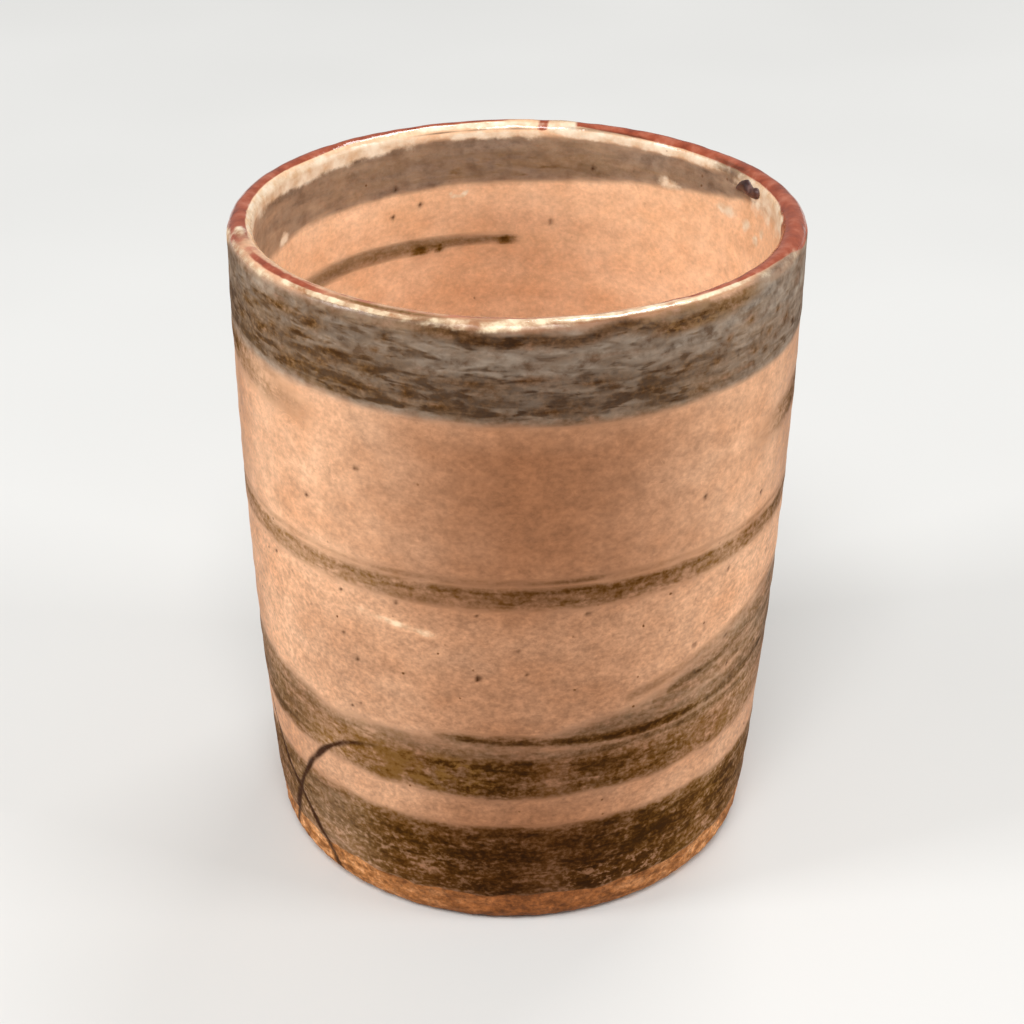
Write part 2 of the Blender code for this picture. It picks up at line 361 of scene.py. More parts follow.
print("a degree on the wall is", round(math.radians(1) * MEAN_RADIUS, 2), "mm")

# %% The broad band above the bare foot
low = foot_line - 0.2 + 0.30 * ragged(11, 4, 7, 12, 19, 31, 44)
high = BASE_BAND[1] - 0.25 + 0.16 * ragged(12, 2, 5, 9, 17)
dark_round = along((-180, 0.80), (-110, 0.68), (-72, 0.66), (-56, 0.70), (-45, 0.60), (-36, 0.64),
                   (-30, 0.74), (-18, 0.74), (-9, 0.86), (1, 0.90), (14, 0.90), (24, 0.92), (34, 0.96),
                   (42, 0.80), (48, 0.76), (57, 0.86), (66, 0.70), (74, 0.57), (120, 0.76))
# Three upright paler places on the two dark bands are painted reflections, laid as thinner slip.
PAINTED_REFLECTIONS = ((8, 0.34), (-46, 0.12), (48, 0.08))
painted_reflection_factor = 1 - sum(part * np.exp(-(apart(at) / 4.0) ** 2) for at, part in PAINTED_REFLECTIONS)
full = 0.81 + 0.20 * np.exp(-((path - 12.5) / 2.8) ** 2)
lay("load", between(low, high, 0.9, path) * dark_round * painted_reflection_factor * full)
lay_patches(path,
            ("load", 0.84, 13.0, 15.4, 1.0, -34, -4, 7),
            ("load", 0.80, foot_line, 7.0, 0.8, -14, 2, 6),
            ("fleck", 0.48, 5.5, 12.5, 2.0, -60, -8, 14),
            ("fleck", 0.95, 4.6, 9.5, 1.5, 12, 36, 6),
            ("fleck", 0.12, 5.0, 15.0, 2.0, 44, 290, 16),
            ("ochre", 0.35, 5.0, 17.0, 1.0, 38, 84, 12),
            ("grey", 0.20, 5.5, 16.5, 1.5, -64, -34, 10))
print("base band laid, densest", round(float(dark_round.max()), 2))

# %% The dark band above the pale stripe
low = LOWER_BAND[0] + 0.15 + 0.22 * ragged(13, 3, 6, 11, 18, 29)
high = LOWER_BAND[1] - 0.30 + 0.15 * ragged(14, 2, 7, 13, 23)
dark_round = along((-180, 0.60), (-100, 0.60), (-72, 0.62), (-60, 0.62), (-50, 0.54), (-41, 0.38),
                   (-34, 0.48), (-24, 0.46), (-14, 0.62), (-5, 0.80), (1, 0.84), (12, 0.72), (24, 0.62),
                   (36, 0.56), (42, 0.44), (48, 0.50), (60, 0.38), (72, 0.32), (120, 0.46))
# The painted reflections thin the lower band as well.
lay("load", between(low, high, 0.85, path) * dark_round * (1.5 * painted_reflection_factor - 0.5) * 0.95)
for strength, *oval in ((0.92, -15, 27.6, 4.5, 0.7), (0.86, -11, 24.3, 6.0, 0.8),
                        (0.78, 26, 27.2, 7.0, 0.8), (0.66, -64, 27.6, 5.0, 1.0)):
    lay("load", strength * spot(*oval))
lay_patches(path,
            ("ochre", 0.85, 23.2, 28.8, 0.9, -35, -5, 6),
            ("ochre", 0.45, 22.8, 27.0, 0.8, 44, 64, 6))
print("lower band laid, densest", round(float(dark_round.max()), 2))

# %% The second sweep over it, which fans out to the right
VEIL_FOOT = LOWER_BAND[1] - 0.2
veil_top = along((-180, 33.5), (-110, 32.6), (-72, 32.4), (-54, 32.2), (-46, 31.6), (-42, 30.8),
                 (-36, 31.4), (-20, 31.6), (4, 31.6), (10, 33.2), (18, 34.2), (26, 34.8), (33, 36.2),
                 (40, 38.8), (50, 40.4), (62, 41.6), (74, 42.4), (84, 43.0), (112, 42.0), (150, 37.0))
thin = along((-180, 0.42), (-110, 0.46), (-72, 0.46), (-60, 0.42), (-48, 0.36), (-42, 0.18), (-36, 0.28),
             (-24, 0.26), (0, 0.26), (8, 0.28), (14, 0.40), (30, 0.48), (42, 0.38), (54, 0.42),
             (68, 0.56), (82, 0.58), (110, 0.54), (150, 0.44))
rise = (path - VEIL_FOOT) / (veil_top - VEIL_FOOT)
veil_fade = 0.9 + 1.0 * around(24, 120, 14)
lay("load", between(VEIL_FOOT, veil_top, veil_fade, path) * thin * (1.05 - 0.12 * rise))
overlap = along((-180, 0.4), (-72, 0.54), (-46, 0.46), (-40, 0.34), (-16, 0.42), (4, 0.34), (14, 0.44),
                (90, 0.50))
lay("load", between(28.4, 30.6, 0.7, path) * overlap)
print("veil laid, up to", round(float(veil_top.max()), 1), "mm")

# %% Lines and gaps that the hairs of the brush left in the sweep
VEIL_LINES = (
    (0.64, 1.00, ((14, 29.7), (30, 29.6), (44, 29.9), (58, 29.9))),
    (0.76, 1.60, ((45, 31.2), (62, 31.9), (80, 32.6), (104, 33.4))),
    (0.58, 1.40, ((34, 36.0), (46, 37.6), (60, 38.4), (80, 39.2))),
    (0.20, 1.20, ((24, 36.9), (40, 39.6), (58, 42.2), (74, 44.0))),
)
VEIL_GAPS = (
    ((6, 30.5), (24, 30.4), (40, 30.5), (56, 30.9), (74, 31.6), (90, 32.2)),
    ((30, 33.2), (48, 34.4), (66, 35.8), (84, 37.0)),
    ((48, 36.6), (62, 38.0), (78, 39.8)),
)
for strength, reach, marks in VEIL_LINES:
    lay("load", strength * drawn(reach, 0.20, *marks))
for marks in VEIL_GAPS:
    thin_out("load", 0.42 * drawn(0.7, 0.1, *marks))
milky_round = along((-180, 0.25), (-60, 0.16), (-36, 0.12), (6, 0.08), (24, 0.10), (44, 0.16), (90, 0.24),
                    (150, 0.2))
lay("grey", between(VEIL_FOOT, veil_top + 1, 0.8, path) * milky_round)
lay_patches(path, ("grey", 0.14, 24.0, 32.4, 1.2, -82, -46, 9))

dark_line = drawn(1.25, 0.10, (-16, 32.1), (0, 32.0), (10, 31.7), (24, 31.2), (33, 31.1), (43, 31.5))
dark_line = dark_line * along((-18, 0.0), (-10, 0.62), (0, 0.76), (6, 0.58), (12, 0.84), (24, 1.05),
                              (34, 1.05), (40, 0.74), (46, 0.4), (60, 0.0))
lay("load", dark_line)
thin_out("grey", dark_line.clip(0, 1))
print(len(VEIL_LINES), "lines and", len(VEIL_GAPS), "gaps in the veil, and a dark line under it")

# %% The narrow band round the middle and its hairline
drift = 0.12 * ragged(15, 2, 3, 5)
dark_round = along((-180, 0.34), (-120, 0.34), (-72, 0.31), (-60, 0.28), (-42, 0.30), (-22, 0.30),
                   (-8, 0.29), (2, 0.34), (12, 0.39), (30, 0.41), (42, 0.32), (60, 0.34), (72, 0.38),
                   (120, 0.36))
lay("load", between(WAIST_BAND[0] + 0.35 + drift, WAIST_BAND[1] - 0.1 + drift, 0.7, path) * dark_round)
lay("load", ease(1.0, 0.1, np.abs(path - WAIST_BAND[1] + 0.75 - drift)) * (dark_round + 0.12))
hair = sum(WAIST_LINE) / 2 + 0.08 * ragged(17, 2, 5, 9)
lay("load", ease(0.70, 0.05, np.abs(path - hair)) * (0.16 + 0.04 * ragged(18, 4, 9, 15)))
lay("load", ease(0.60, 0.05, np.abs(path - hair)) * around(6, 18, 5) * 0.34)
print("waist laid at", round(sum(WAIST_BAND) / 2, 1), "mm")

# %% The stroke that crosses the back, and a dry pale sweep on the left
crossing = drawn(3.2, 0.2, (50, 67.4), (70, 68.6), (110, 70.6), (180, 73.0), (250, 74.4), (284, 75.6),
                 (318, 74.2))
lay("load", crossing * along((50, 0.0), (58, 0.12), (66, 0.36), (74, 0.58), (130, 0.50), (250, 0.48),
                             (288, 0.38), (296, 0.27), (305, 0.20), (314, 0.12), (320, 0.0)))
upper_wash = along((240, 0.45), (286, 0.56), (294, 0.34), (302, 0.16), (312, 0.06), (318, 0.0), (60, 0.0),
                   (200, 0.0))
lay("load", between(75.0, 79.0, 1.2, path) * upper_wash)
pale_sweep = drawn(0.8, 0.1, (-64, 51.4), (-40, 49.6), (-15, 47.6))
pale_sweep = pale_sweep * along((-66, 0.0), (-58, 0.4), (-36, 0.5), (-31, 1.0), (-26, 0.7), (-22, 1.0),
                                (-17, 0.8), (-14, 0.0))
lay("cream_and_glint", pale_sweep * 0.42)
print("shoulder stroke and dry sweep laid")

# %% The broad band under the lip
edge = along((-180, 78.2), (-90, 78.3), (-45, 78.4), (0, 77.7), (20, 77.5), (50, 77.8), (70, 78.1))
edge = edge + (UPPER_BAND[0] - 77.75) + 0.08 * ragged(19, 7, 12, 19, 28)
dark_round = along((-180, 0.66), (-100, 0.66), (-72, 0.76), (-48, 0.78), (-30, 0.74), (-18, 0.72),
                   (0, 0.68), (18, 0.68), (40, 0.62), (52, 0.54), (72, 0.56), (110, 0.62))
dark_up = dark_round + 0.12 - 0.12 * ease(82.0, 85.0, path)
lay("load", between(edge, LIP_LINE + 0.4, 0.8, path) * dark_up)
opal_top = along((-180, 0.55), (-90, 0.64), (-58, 0.72), (-46, 0.70), (-38, 0.72), (-31, 0.84),
                 (-18, 0.72), (-8, 0.66), (0, 0.76), (14, 0.80), (24, 0.76), (36, 0.76), (48, 0.82),
                 (60, 0.80), (72, 0.72), (110, 0.60))
opal_low = along((-180, 0.45), (-72, 0.50), (-50, 0.66), (-24, 0.52), (0, 0.48), (14, 0.48), (30, 0.54),
                 (60, 0.70), (72, 0.62), (110, 0.50))
lay("grey", between(83.0, 89.0, 0.9, path) * opal_top)
lay("grey", between(77.5, 84.0, 0.8, path) * opal_low)
print("upper band laid, densest", round(float(dark_round.max()), 2))

# %% Dark blots where the milky glass in the upper band is clear
DARK_BLOTS = ((-50, 86.6, 4.2, 0.6), (-40, 86.2, 1.6, 0.8), (-20, 80.6, 0.8, 1.3), (-24, 87.0, 0.6, 0.5),
              (42, 84.0, 0.6, 0.5), (39, 81.7, 0.6, 0.5), (32, 82.4, 0.9, 0.4), (2, 83.2, 2.6, 0.5),
              (-8, 82.6, 1.6, 0.4), (14, 82.3, 2.0, 0.4), (-34, 83.6, 3.0, 0.5), (-14, 79.4, 1.8, 0.5),
              (24, 80.4, 1.8, 0.4), (55, 82.2, 0.6, 0.5), (-63, 84.5, 1.6, 0.6), (-56, 82.4, 2.0, 0.5),
              (-46, 80.2, 1.8, 0.6), (-30, 80.0, 2.2, 0.5), (6, 79.2, 2.4, 0.4), (130, 83.0, 1.4, 0.6),
              (-66, 81.8, 1.0, 0.5), (-58, 85.2, 1.4, 0.4), (-52, 83.6, 0.9, 0.4), (-44, 84.4, 1.1, 0.4),
              (-38, 81.8, 1.3, 0.5), (-28, 82.6, 1.2, 0.4), (-26, 85.2, 0.6, 0.3), (48, 85.2, 0.6, 0.4),
              (58, 84.4, 0.7, 0.4), (63, 82.4, 0.6, 0.5), (50, 80.8, 0.8, 0.4), (67, 80.6, 0.7, 0.4),
              (200, 81.5, 1.0, 0.8), (240, 85.0, 2.2, 0.6), (165, 86.0, 1.0, 0.5), (222, 80.6, 1.6, 0.5))
for oval in DARK_BLOTS:
    blot = spot(*oval)
    lay("load", blot * 0.94)
    thin_out("grey", 0.8 * blot)
lay("ochre", spot(-39, 86.4, 1.6, 1.0) * 0.7)
lay_patches(path,
            ("fleck", 0.05, 78.6, 88.2, 0.8, -84, -34, 9),
            ("fleck", 0.08, 78.6, 88.2, 0.8, 46, 84, 9))
thin_out("load", 0.5 * spot(-54, 87.9, 6.0, 0.8))
print(len(DARK_BLOTS), "blots laid")

# %% The dark line that ran under the lip
streak_under = drawn(1.5, 0.3, (-44, 88.9), (-30, 88.8), (-15, 88.9), (-9, 88.2), (-3, 87.8), (4, 88.0),
                     (10, 87.6), (14, 88.2), (19, 88.8), (23, 88.4), (28, 87.6), (34, 87.8), (40, 88.3),
                     (52, 88.9))
streak_under = streak_under * along((-46, 0.0), (-40, 0.4), (-20, 0.46), (-12, 0.86), (16, 0.78), (22, 0.70),
                                    (30, 0.90), (38, 0.80), (50, 0.60), (56, 0.0))
lay("load", streak_under)
thin_out("grey", 0.9 * streak_under)
lay_patches(path,
            ("ochre", 0.80, 86.4, 89.8, 0.9, 22, 56, 6),
            ("load", 0.72, 86.6, 89.4, 0.8, 24, 54, 6),
            ("ochre", 0.45, 88.0, 90.2, 0.5, -46, -14, 6))
back_run = np.abs(path - 88.1 - 0.5 * ragged(20, 9, 14, 22))
lay("load", ease(0.9, 0.1, back_run) * around(70, 300, 12) * 0.72)
print("under-lip line laid")

# %% [markdown]
# ## Inside
# The brush also went once round the inside, just under the lip. The stroke began with a full brush,
# which left a thick drop, and ran almost the whole way round. A short second stroke lies lower down.
# Both could be cut out of the liner as shapes, but as loads of slip they melt into it as real ones do.

# %% The band under the lip
reach = along((113, 1.6), (120, 2.8), (135, 4.0), (150, 5.0), (160, 5.8), (170, 6.4), (180, 6.6),
              (210, 6.9), (240, 7.3), (250, 7.8), (262, 8.0), (272, 6.6), (290, 3.0), (330, 0.5), (20, 0.3),
              (90, 0.4))
reach = reach + 0.07 * ragged(21, 9, 15, 24, 37)
inner_load = along((112, 0.42), (125, 0.42), (140, 0.36), (150, 0.46), (160, 0.58), (170, 0.64),
                   (180, 0.66), (190, 0.64), (200, 0.56), (215, 0.46), (230, 0.32), (245, 0.22),
                   (262, 0.16), (280, 0.10), (296, 0.0), (60, 0.0), (108, 0.0))
lay("load", ease(0.2, 3.2, depth) * ease(reach + 0.5, reach - 0.5, depth) * inner_load)
lay("load", ease(1.2, 0.1, np.abs(depth - 3.4 - 0.3 * ragged(22, 3, 5))) * around(168, 208, 12) * 0.66)
inner_milk = along((112, 0.84), (150, 0.84), (180, 0.80), (215, 0.84), (235, 0.72), (262, 0.66))
lay("grey", between(0.2, reach + 0.6, 0.5, depth) * inner_milk)
print("inner band laid, down to", round(float(reach.max()), 1), "mm under the lip")

# %% The short stroke lower down, its beads and some crusts of glaze
middle = down_inside(72.6)
run = distance_to((181, middle), (200, middle + 0.1), (225, middle + 0.2), (243, middle + 0.9))
half = along((181, 0.55), (190, 0.85), (202, 1.25), (220, 1.5), (245, 1.6), (300, 1.6), (120, 0.5))
short_load = along((179, 0.0), (182, 0.56), (198, 0.60), (215, 0.58), (228, 0.52), (238, 0.40), (248, 0.0),
                   (300, 0.0))
lay("load", ease(half, 0.35 * half, run) * short_load)
lay("grey", ease(half + 0.3, 0.5 * half, run) * 0.40)
for at, lower, wide, tall in ((182.6, 0.20, 1.5, 0.50), (204.5, 0.75, 1.7, 0.60), (199.5, 0.75, 0.6, 0.55)):
    bead = spot(at, middle + lower, wide, tall)
    lay("load", bead * 1.3)
    thin_out("grey", 0.9 * bead)
arc = down_inside(79.4)
lay("cream_and_glint", drawn(0.6, 0.1, (196.2, arc - 0.5), (195.2, arc), (193.2, arc), (192.2, arc - 0.5)) * 0.7)
for at, height, wide in ((121, 83.4, 2.6), (249, 81.0, 1.4), (140, 83.9, 2.2), (112, 82.8, 1.3),
                         (107, 81.4, 1.1), (104, 83.2, 0.9)):
    lay("cream_and_glint", spot(at, down_inside(height), wide, 1.0) * 0.72)
lay("cream_and_glint", around(80, 112, 9) * ease(6.0, 0.5, depth) * ease(-0.5, 0.5, depth) * 0.58)
print("short stroke laid", round(middle - INNER_START, 1), "mm under the lip")

# %% [markdown]
# ## Lip
# Glaze runs off a sharp edge while it melts. Over the lip it is thin, and the iron in the clay shows
# through it in red and brown; where it gathered again, just inside, it is cream. Some of the cream over
# the lip is painted highlight where the wet glaze shines. A ring of its own could be painted for it, but
# on the sheet each mark is a patch between two angles over the lip: 0 degrees faces out, 90 is the crest
# and 180 faces in.

# %% Iron red over the lip
left_out = along((-178, 60), (-150, 55), (-110, 30), (-92, 5), (-74, 25))
left_in = along((-180, 102), (-150, 116), (-125, 130), (-105, 118), (-74, 118))
right_out = along((14, 92), (30, 92), (44, 80), (58, 68), (66, 52), (72, 16), (90, 0), (170, 30))
right_in = along((44, 128), (58, 146), (72, 185), (86, 185), (94, 143), (150, 140), (172, 120))
worn_through = 0.55 * (0.75 + 0.25 * ragged(35, 11, 17, 29))
lay_patches(over,
            ("iron", 0.90, left_out, left_in, 9, -178, -72, 10),
            ("iron", 0.95, right_out, right_in, 10, 26, 171, 12),
            ("iron", 0.34, 74, 122, 14, -72, 30, 8),
            ("iron", 0.75, 56, 92, 10, -66, -38, 9),
            ("iron", worn_through, 86, 108, 9, -50, 34, 9),
            ("load", 0.55, 64, 82, 8, -34, -16, 6),
            ("ochre", 1.00, 64, 82, 8, -34, -16, 6))
print("iron covers", round(float((paint["iron"] > 0.4).sum() / AROUND / LIP_ROWS), 2), "of the lip")

# %% Cream that gathered just inside, and a painted highlight at the back of the lip
broken = 5 * ragged(37, 7, 13, 23, 38, 61)
pool_edge = along((200, 200), (222, 220), (262, 228), (270, 200)) + 1.5 * broken
# The stripe 110 to 138 degrees over the lip, at the back, is partly cream and partly painted highlight.
lay_patches(over,
            ("cream_and_glint", 0.80, 148, 188 + broken, 20, 86, 170, 6),
            ("cream_and_glint", 0.95, 110, 138, 7, 176, 204, 10),
            ("cream_and_glint", 0.80, 166, 194 + 1.5 * broken, 22, 172, 206, 10),
            ("cream_and_glint", 0.82, 142, pool_edge, 34, 204, 262, 12),
            ("cream_and_glint", 0.85, 126, 196 + broken, 20, 246, 284, 8),
            ("cream_and_glint", 0.85, 150, 232 + broken, 22, 84, 118, 7))
brush_start = spot(121, INNER_START - 0.4, 5.0, 0.7)
thin_out("cream_and_glint", 0.75 * brush_start)
lay("load", 0.62 * brush_start)
lay("grey", 0.85 * brush_start)
print("cream laid, at most", round(float(paint["cream_and_glint"].max()), 2))

# %% Cream with painted highlights, slip and stain on the front and over the crest
wash = along((-76, 0.2), (-70, 0.58), (-56, 0.46), (-46, 0.30), (-32, 0.30), (-20, 0.30), (-10, 0.52),
             (0, 0.48), (6, 0.36), (12, 0.20), (30, 0.22), (44, 0.30), (56, 0.24), (67, 0.26), (72, 0.0),
             (180, 0.0))
crest = along((-75, 58), (-50, 54), (-32, 60), (-10, 72), (20, 80), (40, 76), (60, 76), (75, 44), (180, 40))
skirt = along((-70, 16), (-30, 28), (-8, 16), (4, 24), (20, 56), (44, 46), (66, 10), (180, 30))
lay("cream_and_glint", wash * between(skirt, crest, 16, over))
lay("cream_and_glint", 0.80 * spot(-80, LIP_LINE + 0.3, 3.0, 0.9))
lay("cream_and_glint", 0.70 * spot(-76, LIP_LINE + 2.3, 2.2, 0.9))
seeped = 0.65 * (0.8 + 0.2 * ragged(31, 17, 29, 43))
# Cream from -50 to 50 degrees, 40 to 86 degrees over the lip, is partly crust and partly painted highlight.
lay_patches(over,
            ("load", 0.40, 198, 262, 14, 150, 262, 12),
            ("grey", 0.75, 194, 262, 14, 150, 262, 12),
            ("cream_and_glint", 0.80, 50, 175, 12, 165.5, 172, 1.5),
            ("cream_and_glint", 0.95, 62, 86, 7, -3, 27, 4),
            ("cream_and_glint", 0.60, 84, 100, 9, 6, 34, 8),
            ("cream_and_glint", 0.90, 40, 60, 8, -50, -18, 6),
            ("cream_and_glint", 0.70, 58, 78, 8, 26, 50, 6),
            ("load", 0.15, 18, 60, 9, 4, 26, 6),
            ("load", 0.34, -10, 62, 16, 48, 70, 6),
            ("grey", 0.66, -10, 62, 16, 48, 70, 6),
            ("stain", seeped, 146, 156, 5, 174, 206, 8),
            ("stain", 0.45, 116, 146, 9, 112, 128, 6),
            ("stain", 0.50, 126, 146, 7, 146, 168, 5),
            ("iron", 0.95, 60, 158, 10, 172.4, 174.4, 0.9))
print("lip painted, stain at most", round(float(paint["stain"].max()), 2))

# %% [markdown]
# ## Cracks, pinholes, the blush of the fire and painted shade
# Two fine cracks opened low on the left and took up stain. Gas left pinholes in the glaze, and the
# side that faced the flame is toasted, with painted shade there too. A bump in the finish could stand
# for them, but as marks in the same two numbers they are also cut into the surface later, because a
# crack has depth.

# %% Cracks
CRACKS = (
    ((-30, 27.6), (-35, 26.7), (-40.3, 25.2), (-46.6, 22.2), (-51.8, 17.7), (-57.1, 11.9), (-61.3, 7.2),
     (-64.5, 2.0)),
    ((-86, 26.0), (-79, 23.2), (-72, 19.5), (-66, 15.6), (-60, 12.6), (-55, 9.6), (-49.7, 6.2),
     (-44.5, 1.0)),
)


def curved(*marks):
    """A smooth line near a few marks: each coordinate is a quartic in the share of the way along."""
    share_along = np.linspace(0, 1, len(marks))
    fine = np.linspace(0, 1, 24)
    return list(zip(*(np.polyval(np.polyfit(share_along, values, 4), fine) for values in zip(*marks))))


def crack_distance(length):
    """Distance in mm from the nearer of the two cracks, for points this far along the profile."""
    return np.minimum(*(distance_to(*curved(*marks), length=length) for marks in CRACKS))


crack = crack_distance(path)
crack_width = along((-86, 0.5), (-72, 1.0), (-52, 0.88), (-40, 0.78), (-29, 0.65), (180, 0.5))
crack_width = (crack_width + 0.16 * ragged(34, 21, 34, 55)) * (1.05 + 0.40 * ease(15.0, 8.0, path))
crack_dark = along((-87, 0.2), (-76, 0.7), (-68, 0.9), (-44, 0.95), (-36, 0.75), (-29, 0.35), (180, 0.2))
crack_dark = crack_dark * (0.9 + 0.1 * ragged(36, 40, 63, 88))
lay("stain", ease(crack_width, 0.0, crack) * crack_dark)
print("cracks cover", int((crack < 0.5).sum()), "points")

# %% Pinholes
PINHOLES = ((-44, 62.5), (38.5, 63.5), (-7, 42.0), (39, 41.5), (-31, 69.0), (58, 59.0), (14, 51.0),
            (-33, 41.0))
INNER_PINHOLES = ((211.5, 77.6), (171, 75.2), (204, 78.8), (160.5, 84.0), (210.5, 81.8))
SMALL_PINHOLES = 50
holes = [(at, height, 0.45) for at, height in PINHOLES]
holes += [(at, down_inside(height), 0.50) for at, height in INNER_PINHOLES]
chance = np.random.default_rng(5)
holes += [(chance.uniform(-180, 180), chance.uniform(33, 52), chance.uniform(0.25, 0.4))
          for _ in range(SMALL_PINHOLES)]
pinhole = np.clip(sum(spot(at, length, wide, wide) for at, length, wide in holes), 0, 1)
lay("stain", pinhole * 0.70)
lay("fleck", between(17, 52, 3, path) * ease(0.2, 0.0, paint["load"]))
print(len(holes), "pinholes")

# %% The blush of the fire, with painted shade
# This mask is partly toasting and partly painted shade: it darkens the front most, the far sides and the
# back of the inside too, and stays light about 50 degrees either side of the front.
toasted_and_shaded = along((-180, 0.20), (-130, 0.15), (-90, 0.44), (-72, 0.42), (-60, 0.02), (-40, 0.05),
                (-30, 0.38), (-20, 0.63), (-10, 0.86), (0, 0.97), (10, 0.94), (20, 0.85), (30, 0.60),
                (40, 0.40), (50, 0.14), (60, 0.24), (72, 0.56), (95, 0.48), (130, 0.15))
toasted_and_shaded_up = np.interp(path, (17, 24, 34, 48, 58, 73, 77), (0.95, 0.86, 0.82, 0.74, 0.95, 1.0, 0.82))
lay("blush_and_shade", outside * toasted_and_shaded * toasted_and_shaded_up)
lay("blush_and_shade", between(16, 24, 1.5, path) * 0.36)
lay("blush_and_shade", ease(4, 14, depth) * 0.34 * np.exp(-(apart(182) / 34) ** 2))
lay_patches(path, ("blush_and_shade", 0.46, 30, 48, 7, -48, -12, 14))
thin_out("blush_and_shade", pale_sweep)
thin_out("blush_and_shade", 0.6 * between(43, 51, 3, path) * around(46, 84, 8))
print("blush laid, mean", round(float(paint["blush_and_shade"].mean()), 2))

# %% [markdown]
# ## From marks to shape
# The marks so far only say where things are. Here they get height: fingers left a spiral of throwing
# rings, slip lies on the wall as a thin layer, pinholes and cracks sink in, and the glaze rolls in at
# its lower edge. Bump in a finish could feign this, but real relief stays with the mesh. The rim of a
# thrown cup is never quite level, and this cup leans a little.

# %% Relief of the sheet in millimetres
RING_PITCH = 5.6
RING_RELIEF = 0.035
PEEL_RELIEF = 0.022
SLIP_RELIEF = 0.07
PIT_DEPTH = 0.10
EDGE_ROLL = 0.16
EDGE_WIDTH = 0.6
LIP_WAVER = 0.02


def blur(field, times):
    """Average each point with its four neighbours, over and over; the columns join round the cup."""
    for _ in range(times):
        rows = np.pad(field, ((1, 1), (0, 0)), mode="edge")
        field = (rows[2:] + rows[:-2] + np.roll(field, 1, 1) + np.roll(field, -1, 1) + 2 * field) / 6
    return field


spiral = np.sin(2 * np.pi * path / RING_PITCH + turn)
off_lip = ease(86.0, 78.0, path) + ease(3.0, 12.0, depth)
peel = blur(np.random.default_rng(3).normal(size=path.shape), 6)
relief = RING_RELIEF * spiral * off_lip + PEEL_RELIEF * peel / peel.std()
relief = relief + SLIP_RELIEF * ease(0.10, 0.75, blur(paint["load"], 1))
relief = relief - PIT_DEPTH * pinhole - PIT_DEPTH * ease(0.60, 0.1, crack)
relief = relief - EDGE_ROLL * np.exp(-(path - foot_line) / EDGE_WIDTH)
relief = relief + LIP_WAVER * ragged(32, 13, 21, 34) * ease(40, 90, over) * ease(150, 100, over)
print(f"relief from {relief.min():.2f} to {relief.max():.2f} mm")

# %% Points and normals of the sheet
LEAN = 0.0109
RIM_DIP = 0.30
RIM_WAVER = 0.10
rim_level = -RIM_DIP * np.exp(-(apart(118) / 45) ** 2) + RIM_WAVER * ragged(33, 2, 3, 5)
round_error = 0.08 * np.sin(2 * turn + 0.7) + 0.05 * np.sin(3 * turn + 2.1)


def place(radius, height):
    """Points in mm from radius and height rows: turned to their bearing, then leaned to the right."""
    reach_up = ease(40.0, LIP_LINE, height)
    level_height = height + rim_level * reach_up
    out = radius + round_error * ease(2.0, 20.0, radius)
    lean = LEAN * (level_height - HEIGHT / 2)
    return np.stack([out * np.sin(turn) + lean, -out * np.cos(turn), level_height], axis=-1)


def across_profile(radius, height):
    """Unit normals in the profile plane: a quarter turn from the direction along the rows."""
    along_r = np.gradient(radius, axis=0)
    along_h = np.gradient(height, axis=0)
    size = np.hypot(along_r, along_h)
    return along_h / size, -along_r / size


def normals_of(points):
    """Unit normals of a sheet that joins round the cup: the cross product of its two directions."""
    around_step = np.roll(points, -1, 1) - np.roll(points, 1, 1)
    along_step = np.gradient(points, axis=0)
    normal = np.cross(around_step, along_step)
    return normal / np.linalg.norm(normal, axis=-1, keepdims=True)


normal_r, normal_h = across_profile(sheet[..., 0], sheet[..., 1])
points = place(sheet[..., 0] + relief * normal_r, sheet[..., 1] + relief * normal_h)
normals = normals_of(points)
print("sheet spans", np.round(points.max((0, 1)) - points.min((0, 1)), 1), "mm")

# %% [markdown]
# ## Skins
# The sheet is cut along the two lip lines into three skins: the coat outside, the lip and the liner.
# They share their edge rows, so no seam shows. Each skin gets a back a little way inside it and so
# becomes a closed shell, as a real layer of glaze is. The back needs few rows because nobody sees it.

# %% Faces between rows of points


def grid_faces(row_count, joined):
    """Quads between neighbouring rows, whose columns join; joined also ties the last row to the first."""
    rows = np.arange(row_count if joined else row_count - 1)[:, None]
    columns = np.arange(AROUND)[None, :]
    after = (columns + 1) % AROUND
    here = rows * AROUND
    there = (rows + 1) % row_count * AROUND
    return np.stack([here + columns, here + after, there + after, there + columns], -1).reshape(-1, 4)


def fan_faces(row, pole):
    """Triangles from one row to a single point at its middle."""
    columns = np.arange(AROUND)
    after = (columns + 1) % AROUND
    return np.stack([row * AROUND + columns, row * AROUND + after, np.full(AROUND, pole)], -1)


def volume(corners, triangles):
    """Signed volume: the sum of the triangles' tetrahedra to the origin, over six."""
    a, b, c = (corners[triangles[:, index]] for index in range(3))
    return float(np.einsum("ij,ij->i", a, np.cross(b, c)).sum()) / 6


print("a row of the sheet has", len(grid_faces(2, joined=False)), "faces")

# %% Make a closed mesh from rows of points


